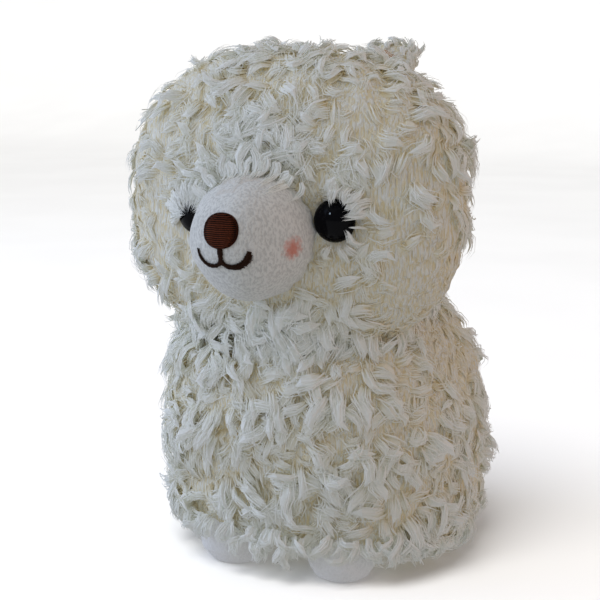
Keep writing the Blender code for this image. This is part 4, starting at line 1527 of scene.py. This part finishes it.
class PLUSH_OT_muzzle(bpy.types.Operator):
    """Make the muzzle's short-pile dome, puckered where it is sewn into the fleece"""

    bl_idname = "plush.muzzle"
    bl_label = "Muzzle"

    def execute(self, context):
        material = short_pile_material("polyester_velour_muzzle", chosen_colours().muzzle,
                                       chosen_colours().blush)
        ways = ball_ways(*MUZZLE_GRID, "y")
        points = MUZZLE.skin(ways)
        turn = FULL_TURN * np.arange(MUZZLE_GRID[1]) / MUZZLE_GRID[1]
        back = np.clip((points[..., 1] - MUZZLE.centre[1]) / MUZZLE_CUFF, -1.0, 1.0)
        gather = np.clip(back + PUCKER_REACH, 0.0, 1.0)
        folds = sum(share * np.sin(number * turn + phase) for number, phase, share in FOLDS)
        lumps = MUZZLE_LUMP * smooth_waves(points, MUZZLE_SEED, MUZZLE_LUMP_SIZE)[..., 0]
        points = points + ways * (PUCKER * gather * folds + lumps)[..., None]
        thing = make_closed("muzzle_velour", points, material)
        finish_piece(thing, ("muzzle_cover",))
        return {"FINISHED"}


def bead_material(colours):
    """Black ABS bead, moulded and polished: deep black with one sharp highlight."""
    material, tree, shader = start_material("polished_abs_bead", *BEAD_FINISH)
    place = add_node(tree, "ShaderNodeTexCoord").outputs["Object"]
    swirl = add_node(tree, "ShaderNodeTexNoise", None, {"Vector": place, "Scale": repeats(BEAD_SWIRL)})
    warm = blend_colours(tree, swirl.outputs["Fac"], colours.eye, linear(BEAD_SHADE))
    tree.links.new(warm, shader.inputs["Base Color"])
    raise_surface(tree, shader, swirl.outputs["Fac"], BEAD_DEPTH)
    return material


class PLUSH_OT_eyes(bpy.types.Operator):
    """Turn the bead eyes, each with its stem"""

    bl_idname = "plush.eyes"
    bl_label = "Eyes"

    def execute(self, context):
        # A profile carried round the line of sight: a bead's arc, its back, then the stem
        material = bead_material(chosen_colours())
        last = math.pi - math.asin(STEM / EYE_RADIUS)
        turns = last * (np.arange(BEAD_RINGS) + 1.0) / BEAD_RINGS
        rings = np.concatenate([EYE_RADIUS * np.sin(turns), [STEM, STEM, STEM * 0.7]])
        around = FULL_TURN * np.arange(BEAD_COLUMNS) / BEAD_COLUMNS
        for side, node in ((1, "eye_left"), (-1, "eye_right")):
            centre = eye_centre(side)
            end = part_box(node)[1].y - centre[1]
            backs = np.concatenate([-EYE_DEPTH * np.cos(turns),
                                    [EYE_DEPTH + STEM_NECK, end - STEM_END, end]])
            points = np.stack([centre[0] + rings[:, None] * np.sin(around),
                               centre[1] + backs[:, None] * np.ones(BEAD_COLUMNS),
                               centre[2] + rings[:, None] * np.cos(around)], axis=-1)
            finish_piece(make_closed(f"{node}_bead", points, material), (node,))
        return {"FINISHED"}


def thread_material(name, colour, light, fuzz_size):
    """Polyester embroidery thread, twisted and satin-stitched: its lighter colour is a painted highlight
    along each thread's crest.
    """
    material, tree, shader = start_material(name, *THREAD_FINISH)
    fibres = add_node(tree, "ShaderNodeUVMap", {"uv_map": "Fibres"})
    pile = add_node(tree, "ShaderNodeUVMap", {"uv_map": "Pile"})
    split = add_node(tree, "ShaderNodeSeparateXYZ", None, {0: pile.outputs[0]})
    turned = add_node(tree, "ShaderNodeVectorMath", {"operation": "MULTIPLY"},
                      {0: fibres.outputs[0], 1: THREAD_TWIST})
    twist = add_node(tree, "ShaderNodeTexWave", {"bands_direction": "DIAGONAL"},
                     {"Vector": turned.outputs[0], "Scale": 1.0, "Distortion": 1.2})
    place = add_node(tree, "ShaderNodeTexCoord").outputs["Object"]
    fuzz = add_node(tree, "ShaderNodeTexNoise", None,
                    {"Vector": place, "Scale": repeats(fuzz_size), "Detail": 2.0})
    # Painted highlight: the crest of each thread, a quarter turn round it, takes the lighter colour,
    # broken up by the twist and the fuzz.
    around = add_node(tree, "ShaderNodeSeparateXYZ", None, {0: fibres.outputs[0]})
    from_top = arithmetic(tree, "ABSOLUTE", arithmetic(tree, "SUBTRACT", around.outputs[0], 0.25))
    ridge = spread(tree, from_top, *RIDGE_REACH, RIDGE_LIGHT, 0.0)
    factor = arithmetic(tree, "MULTIPLY", twist.outputs["Fac"], fuzz.outputs["Fac"])
    factor = arithmetic(tree, "MULTIPLY", factor, ridge)
    own_tone = spread(tree, split.outputs[0], 0.0, 1.0, *THREAD_TONES, False)
    factor = arithmetic(tree, "MULTIPLY", factor, own_tone)
    mixed = blend_colours(tree, factor, colour, light)
    tree.links.new(mixed, shader.inputs["Base Color"])
    raise_surface(tree, shader, twist.outputs["Fac"], TWIST_DEPTH)
    return material


def stitch_points(paths, outward, radius, sides=STITCH_SIDES):
    """Threads of round section along paths that lie on the muzzle, tapered at both ends."""
    samples = paths.shape[1]
    share = np.linspace(0.0, 1.0, samples)
    taper = np.clip(np.minimum(share, 1.0 - share) * 7.0, 0.30, 1.0)
    _, across, up = carry_frames(paths, outward)
    half = radius[:, None] * taper[None, :]
    return tube_points(paths, across, up, half, half, sides)


def make_stitches(name, groups, material, node):
    """One embroidered piece from groups of threads."""
    points, faces, maps = join_tubes(groups)
    thing = build_mesh(name, points, faces, maps, material)
    return finish_piece(thing, (node,))


class PLUSH_OT_embroidery(bpy.types.Operator):
    """Stitch the nose with level threads and the mouth with short threads across its line"""

    bl_idname = "plush.embroidery"
    bl_label = "Nose and mouth"

    def execute(self, context):
        self.stitch_nose()
        self.stitch_mouth()
        return {"FINISHED"}

    def stitch_nose(self):
        """Level threads whose ends lie on a squared circle, over a flattened ball as the pad.

        A rim of short stitches runs across the same squared circle, each on its radius.
        """
        centre_z, half_width, half_height = NOSE_HEIGHT, NOSE_HALF_WIDTH, NOSE_HALF_HEIGHT
        # Dark brown thread, with the nose colour painted along each crest as a highlight.
        material = thread_material("satin_stitched_nose_thread", linear(NOSE_SHADE),
                                   chosen_colours().nose, NOSE_FUZZ)
        count = NOSE_ROWS
        level = np.linspace(-0.96, 0.96, count)
        draw = np.random.default_rng(NOSE_SEED)
        ends = half_width * (1.0 - np.abs(level) ** NOSE_POWER) ** (1.0 / NOSE_POWER)
        ends = ends + draw.uniform(-NOSE_RAGGED, NOSE_RAGGED, count)
        share = np.linspace(-1.0, 1.0, 22)
        x = ends[:, None] * share[None, :]
        z = centre_z + half_height * level[:, None] + 0.00003 * np.sin(9.0 * share)[None, :]
        z = np.broadcast_to(z, x.shape)
        out = np.sqrt(np.maximum(0.0, 1.0 - (x / (half_width * 1.06)) ** 2
                                 - ((z - centre_z) / (half_height * 1.06)) ** 2))
        y = front_of(MUZZLE, x, z) - NOSE_THREAD * out ** 0.5 - NOSE_LIFT
        paths = np.stack([x, y, z], -1)
        outward = np.broadcast_to(FORWARD, paths.shape)
        threads = stitch_points(paths, outward, np.full(count, NOSE_THREAD))
        angle = FULL_TURN * np.arange(RIM_STITCHES) / RIM_STITCHES
        reach = (np.abs(np.cos(angle)) ** RIM_POWER
                 + np.abs(np.sin(angle)) ** RIM_POWER) ** (-1.0 / RIM_POWER)
        cross = np.linspace(-1.0, 1.0, 7)
        outer = 1.0 + RIM_WIDTH * cross
        rim_x = half_width * (reach * np.cos(angle))[:, None] * outer
        rim_z = centre_z + half_height * (reach * np.sin(angle))[:, None] * outer
        rim_y = front_of(MUZZLE, rim_x, rim_z) - RIM_BOW * (1.0 - cross ** 2) - RIM_LIFT
        rim_paths = np.stack([rim_x, rim_y, rim_z], -1)
        rim_out = np.broadcast_to(FORWARD, rim_paths.shape)
        rim = stitch_points(rim_paths, rim_out, np.full(RIM_STITCHES, RIM_THREAD))
        ways = ball_ways(*PAD_GRID, "y")
        middle = np.array((0.0, float(front_of(MUZZLE, np.array(0.0), np.array(centre_z))),
                           centre_z))
        depth = np.where(ways[..., 1] < 0.0, PAD_FRONT, PAD_BACK)
        wide = np.full(depth.shape, half_width * PAD_SPREAD)
        high = np.full(depth.shape, half_height * PAD_SPREAD)
        pad_points = middle + ways * np.stack([wide, depth, high], axis=-1)
        shift = front_of(MUZZLE, pad_points[..., 0], pad_points[..., 2]) - middle[1] - PAD_LIFT
        pad_points[..., 1] += shift
        groups = [tube_group(threads, STITCH_SIDES, draw.uniform(0.2, 1.0, count)),
                  tube_group(rim, STITCH_SIDES, draw.uniform(0.0, 0.3, RIM_STITCHES))]
        points, faces, maps = join_tubes(groups)
        pad_all, pad_faces = closed_grid(pad_points)
        faces = faces + [part + len(points) for part in pad_faces]
        places = grid_places(*PAD_GRID)
        maps = {label: np.concatenate([own, places * (0.1, 1.0)]) for label, own in maps.items()}
        points = np.concatenate([points, pad_all])
        thing = build_mesh("nose_stitches", points, faces, maps, material)
        finish_piece(thing, ("nose_embroidery",))

    def stitch_mouth(self):
        """Short threads across an upright line and across two arcs that hang from its foot.

        An arc runs sideways by one plus the cosine of its turn and hangs by the turn's sine.
        """
        top = NOSE_HEIGHT - NOSE_HALF_HEIGHT
        joint = top - LIP_LENGTH
        lip_z = np.linspace(top + 0.0004, joint - 0.0006, LIP_STITCHES)
        lines = [(np.zeros(LIP_STITCHES), lip_z, np.full(LIP_STITCHES, LIP_HALF_WIDTH))]
        for side in (-1, 1):
            steps = ARC_STITCHES
            turn = math.pi * 0.94 * (1.0 - np.arange(steps) / (steps - 1.0)) + 0.02
            x = side * ARC_HALF * (1.0 + np.cos(turn))
            z = joint + ARC_RISE * (1.0 - turn / math.pi) - ARC_DROP * np.sin(turn)
            share = np.arange(steps) / (steps - 1.0)
            width = ARC_HALF_WIDTH + (ARC_LEFT_GAIN if side > 0 else ARC_RIGHT_LOSS) * share
            width = width * np.minimum(1.0, 0.45 + 5.0 * (1.0 - share))
            lines.append((x, z, width))
        # Dark thread, with a lighter brown painted along each crest as a highlight.
        material = thread_material("satin_stitched_mouth_thread", chosen_colours().mouth,
                                   linear(MOUTH_PAINTED_HIGHLIGHT), MOUTH_FUZZ)
        groups = []
        draw = np.random.default_rng(MOUTH_SEED)
        for x, z, width in lines:
            line = np.stack([x, z], -1)
            along = unit(np.gradient(line, axis=0))
            across = np.stack([-along[:, 1], along[:, 0]], -1)
            share = np.linspace(-1.0, 1.0, 8)
            ragged = width * draw.uniform(*MOUTH_RAGGED, len(width))
            flat = line[:, None, :] + across[:, None, :] * (ragged[:, None] * share)[..., None]
            flat = flat + along[:, None, :] * (0.00012 * share)[None, :, None]
            y = front_of(MUZZLE, flat[..., 0], flat[..., 1])
            y = y - MOUTH_BOW * np.sqrt(np.maximum(0.0, 1.0 - share ** 2)) - MOUTH_LIFT
            paths = np.stack([flat[..., 0], y, flat[..., 1]], -1)
            outward = np.broadcast_to(FORWARD, paths.shape)
            stitches = stitch_points(paths, outward, np.full(len(x), MOUTH_THREAD))
            groups.append(tube_group(stitches, STITCH_SIDES, draw.uniform(0.1, 0.9, len(x))))
        make_stitches("mouth_stitches", groups, material, "mouth_embroidery")


class PLUSH_OT_feet(bpy.types.Operator):
    """Make the stuffed feet with flat soles, and the base panel between them"""

    bl_idname = "plush.feet"
    bl_label = "Feet and base"

    def execute(self, context):
        # Paler velour than the muzzle's: its own colour, lifted as painted light against the body's
        # shadow.
        material = short_pile_material("polyester_velour_feet", linear(FOOT_COLOUR), None,
                                       FOOT_SHADE_LOW)
        for node, (x, y) in FEET.items():
            form = Form((x, y, FOOT_CENTRE_HEIGHT), FOOT_LOW, FOOT_HIGH, SOFT)
            ways = ball_ways(*FOOT_GRID)
            points = form.skin(ways)
            seam = bell(points[..., 2] - FOOT_SEAM_HEIGHT, FOOT_SEAM_WIDTH)
            lumps = FOOT_LUMP * smooth_waves(points, FOOT_SEED, FOOT_LUMP_SIZE)[..., 0]
            points = points + ways * (lumps - FOOT_SEAM * seam)[..., None]
            sole = points[..., 2] < 0.0
            points[..., 2] = np.where(sole, 0.0, points[..., 2])
            thing = make_closed(f"{node}_velour", points, material)
            finish_piece(thing, (node,))
        low, high = (np.array(corner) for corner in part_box("base_panel"))
        centre, half = (low + high) / 2.0, (high - low) / 2.0
        points = Form(centre, half, half, BASE_SQUARENESS).skin(ball_ways(*BASE_GRID))
        points[..., 2] += BASE_LUMP * smooth_waves(points, BASE_SEED, BASE_LUMP_SIZE)[..., 0]
        finish_piece(make_closed("base_velour", points, material), ("base_panel",))
        return {"FINISHED"}


class PLUSH_OT_hidden_parts(bpy.types.Operator):
    """Finish what the covers hide: the washers' nylon and the fibre filling"""

    bl_idname = "plush.hidden_parts"
    bl_label = "Washers and filling"

    def execute(self, context):
        # Nylon, moulded: milky and half matt, clouded a little
        nylon, tree, shader = start_material("moulded_nylon_washer", *NYLON_FINISH)
        place = add_node(tree, "ShaderNodeTexCoord").outputs["Object"]
        cloud = add_node(tree, "ShaderNodeTexNoise", None,
                         {"Vector": place, "Scale": repeats(NYLON_CLOUD)})
        tone = blend_colours(tree, cloud.outputs["Fac"], *map(linear, NYLON_SHADES))
        tree.links.new(tone, shader.inputs["Base Color"])
        # Polyester fibre, carded: a matt white tangle, greyer in patches of the same noise that raises its
        # bump
        fibre, tree, shader = start_material("polyester_fibre_filling", *FILLING_FINISH)
        place = add_node(tree, "ShaderNodeTexCoord").outputs["Object"]
        tangle = add_node(tree, "ShaderNodeTexNoise", None,
                          {"Vector": place, "Scale": repeats(FILLING_TANGLE), "Detail": 5.0,
                           "Distortion": 2.0})
        tone = blend_colours(tree, tangle.outputs["Fac"], *map(linear, FILLING_SHADES))
        tree.links.new(tone, shader.inputs["Base Color"])
        raise_surface(tree, shader, tangle.outputs["Fac"], TANGLE_DEPTH)
        for node, material in (("eye_washer_left", nylon), ("eye_washer_right", nylon),
                               ("head_stuffing", fibre), ("body_stuffing", fibre)):
            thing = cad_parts[node]
            thing.data.materials.clear()
            thing.data.materials.append(material)
        return {"FINISHED"}


# ---------------------------------------------------------------- stage

def area_light(name, place, size, power, colour):
    """A soft square light that faces the toy."""
    lamp = bpy.data.lights.new(name, "AREA")
    lamp.shape = "SQUARE"
    lamp.size = size
    lamp.energy = power
    lamp.color = linear(colour)[:3]
    thing = bpy.data.objects.new(name, lamp)
    bpy.context.scene.collection.objects.link(thing)
    thing.location = place
    thing.rotation_euler = (Vector(LIGHT_AIM) - Vector(place)).to_track_quat("-Z", "Y").to_euler()


class PLUSH_OT_stage(bpy.types.Operator):
    """Set up the pale floor, the soft lights and the camera"""

    bl_idname = "plush.stage"
    bl_label = "Stage"

    def execute(self, context):
        self.make_floor()
        self.make_lights()
        self.make_camera()
        return {"FINISHED"}

    def make_floor(self):
        """A profile in the Y-Z plane, flat and then curved up at the back, carried along X."""
        material, tree, shader = start_material("matt_painted_backdrop", *FLOOR_FINISH)
        place = add_node(tree, "ShaderNodeTexCoord").outputs["Object"]
        cloud = add_node(tree, "ShaderNodeTexNoise", None,
                         {"Vector": place, "Scale": repeats(FLOOR_CLOUD)})
        tone = blend_colours(tree, spread(tree, cloud.outputs["Fac"], 0.3, 0.7, 0.0, 1.0),
                             chosen_colours().floor, linear(FLOOR_SHADE))
        tree.links.new(tone, shader.inputs["Base Color"])
        bend = np.linspace(0.0, math.pi / 2.0, 24)
        wall = BEND_START + BEND_RADIUS
        y = np.concatenate([[FLOOR_FRONT, 0.0], BEND_START + BEND_RADIUS * np.sin(bend), [wall]])
        z = np.concatenate([[0.0, 0.0], BEND_RADIUS * (1.0 - np.cos(bend)), [WALL_TOP]])
        x = np.linspace(-FLOOR_HALF_WIDTH, FLOOR_HALF_WIDTH, 9)
        points = np.stack(np.broadcast_arrays(x[None, :], y[:, None], z[:, None]), -1)
        rows, columns = points.shape[:2]
        index = np.arange(rows * columns).reshape(rows, columns)
        quads = np.stack([index[:-1, :-1], index[:-1, 1:], index[1:, 1:], index[1:, :-1]], -1)
        floor = build_mesh("floor", points.reshape(-1, 3), [quads.reshape(-1, 4)], {}, material)
        floor.visible_diffuse = False

    def make_lights(self):
        """A pale even room with a broad window, a ceiling, a warm lamp and a small eye light."""
        scene = bpy.context.scene
        world = bpy.data.worlds.new("soft_room")
        world.use_nodes = True
        background = world.node_tree.nodes["Background"]
        background.inputs["Color"].default_value = linear(ROOM_COLOUR)
        background.inputs["Strength"].default_value = ROOM_STRENGTH
        scene.world = world
        for name, row in LIGHTS.items():
            area_light(name, *row)
        self.light_only(bpy.data.objects["eye_light"], BEADS)
        self.light_floor()
        scene.cycles.max_bounces = LIGHT_BOUNCES
        scene.cycles.diffuse_bounces = PALE_BOUNCES
        scene.view_settings.view_transform = "Standard"
        scene.view_settings.look = "None"

    def light_floor(self):
        """A broad light from above that only the floor receives, which keeps it pale."""
        lamp = bpy.data.lights.new("floor_light", "SUN")
        lamp.energy = FLOOR_LIGHT
        lamp.angle = FLOOR_LIGHT_ANGLE
        thing = bpy.data.objects.new("floor_light", lamp)
        bpy.context.scene.collection.objects.link(thing)
        thing.rotation_euler = (math.radians(FLOOR_LIGHT_TILT), 0.0, 0.0)
        self.light_only(thing, ("floor",))

    def light_only(self, lamp, names):
        """Let a light fall on the named pieces alone."""
        lit = bpy.data.collections.new(f"lit_by_{lamp.name}")
        for name in names:
            lit.objects.link(bpy.data.objects[name])
        lamp.light_linking.receiver_collection = lit

    def make_camera(self):
        """A long lens a little above the toy, in front of it and to its left side."""
        lens = bpy.data.cameras.new("camera")
        lens.lens = FOCAL_LENGTH
        lens.sensor_width = FILM_WIDTH
        lens.clip_start = NEAREST
        camera = bpy.data.objects.new("camera", lens)
        bpy.context.scene.collection.objects.link(camera)
        place, aim = Vector(CAMERA_PLACE), Vector(CAMERA_AIM)
        camera.location = place
        camera.rotation_euler = (aim - place).to_track_quat("-Z", "Y").to_euler()
        bpy.context.scene.camera = camera


OPERATORS = (PLUSH_OT_backing, PLUSH_OT_fleece, PLUSH_OT_ears, PLUSH_OT_muzzle, PLUSH_OT_eyes,
             PLUSH_OT_embroidery, PLUSH_OT_feet, PLUSH_OT_hidden_parts, PLUSH_OT_stage)


class PLUSH_PT_dressing(bpy.types.Panel):
    """Lists the dressing's values and pieces"""

    bl_idname = "PLUSH_PT_dressing"
    bl_label = "Plush dressing"
    bl_space_type = "VIEW_3D"
    bl_region_type = "UI"
    bl_category = "Plush"

    def draw(self, context):
        for group in (context.scene.plush_sizes, context.scene.plush_colours):
            for key in group.__annotations__:
                self.layout.prop(group, key)
        for operator in OPERATORS:
            self.layout.operator(operator.bl_idname)


CLASSES = (PlushSizes, PlushColours, *OPERATORS, PLUSH_PT_dressing)


def register():
    """Add the classes and the scene's two groups of values."""
    for item in CLASSES:
        bpy.utils.register_class(item)
    bpy.types.Scene.plush_sizes = bpy.props.PointerProperty(type=PlushSizes)
    bpy.types.Scene.plush_colours = bpy.props.PointerProperty(type=PlushColours)


def unregister():
    """Take the classes and the groups of values away."""
    del bpy.types.Scene.plush_colours
    del bpy.types.Scene.plush_sizes
    for item in reversed(CLASSES):
        bpy.utils.unregister_class(item)


def main():
    """Register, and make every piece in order."""
    register()
    for operator in OPERATORS:
        family, name = operator.bl_idname.split(".")
        getattr(getattr(bpy.ops, family), name)()


if __name__ == "__main__":
    main()
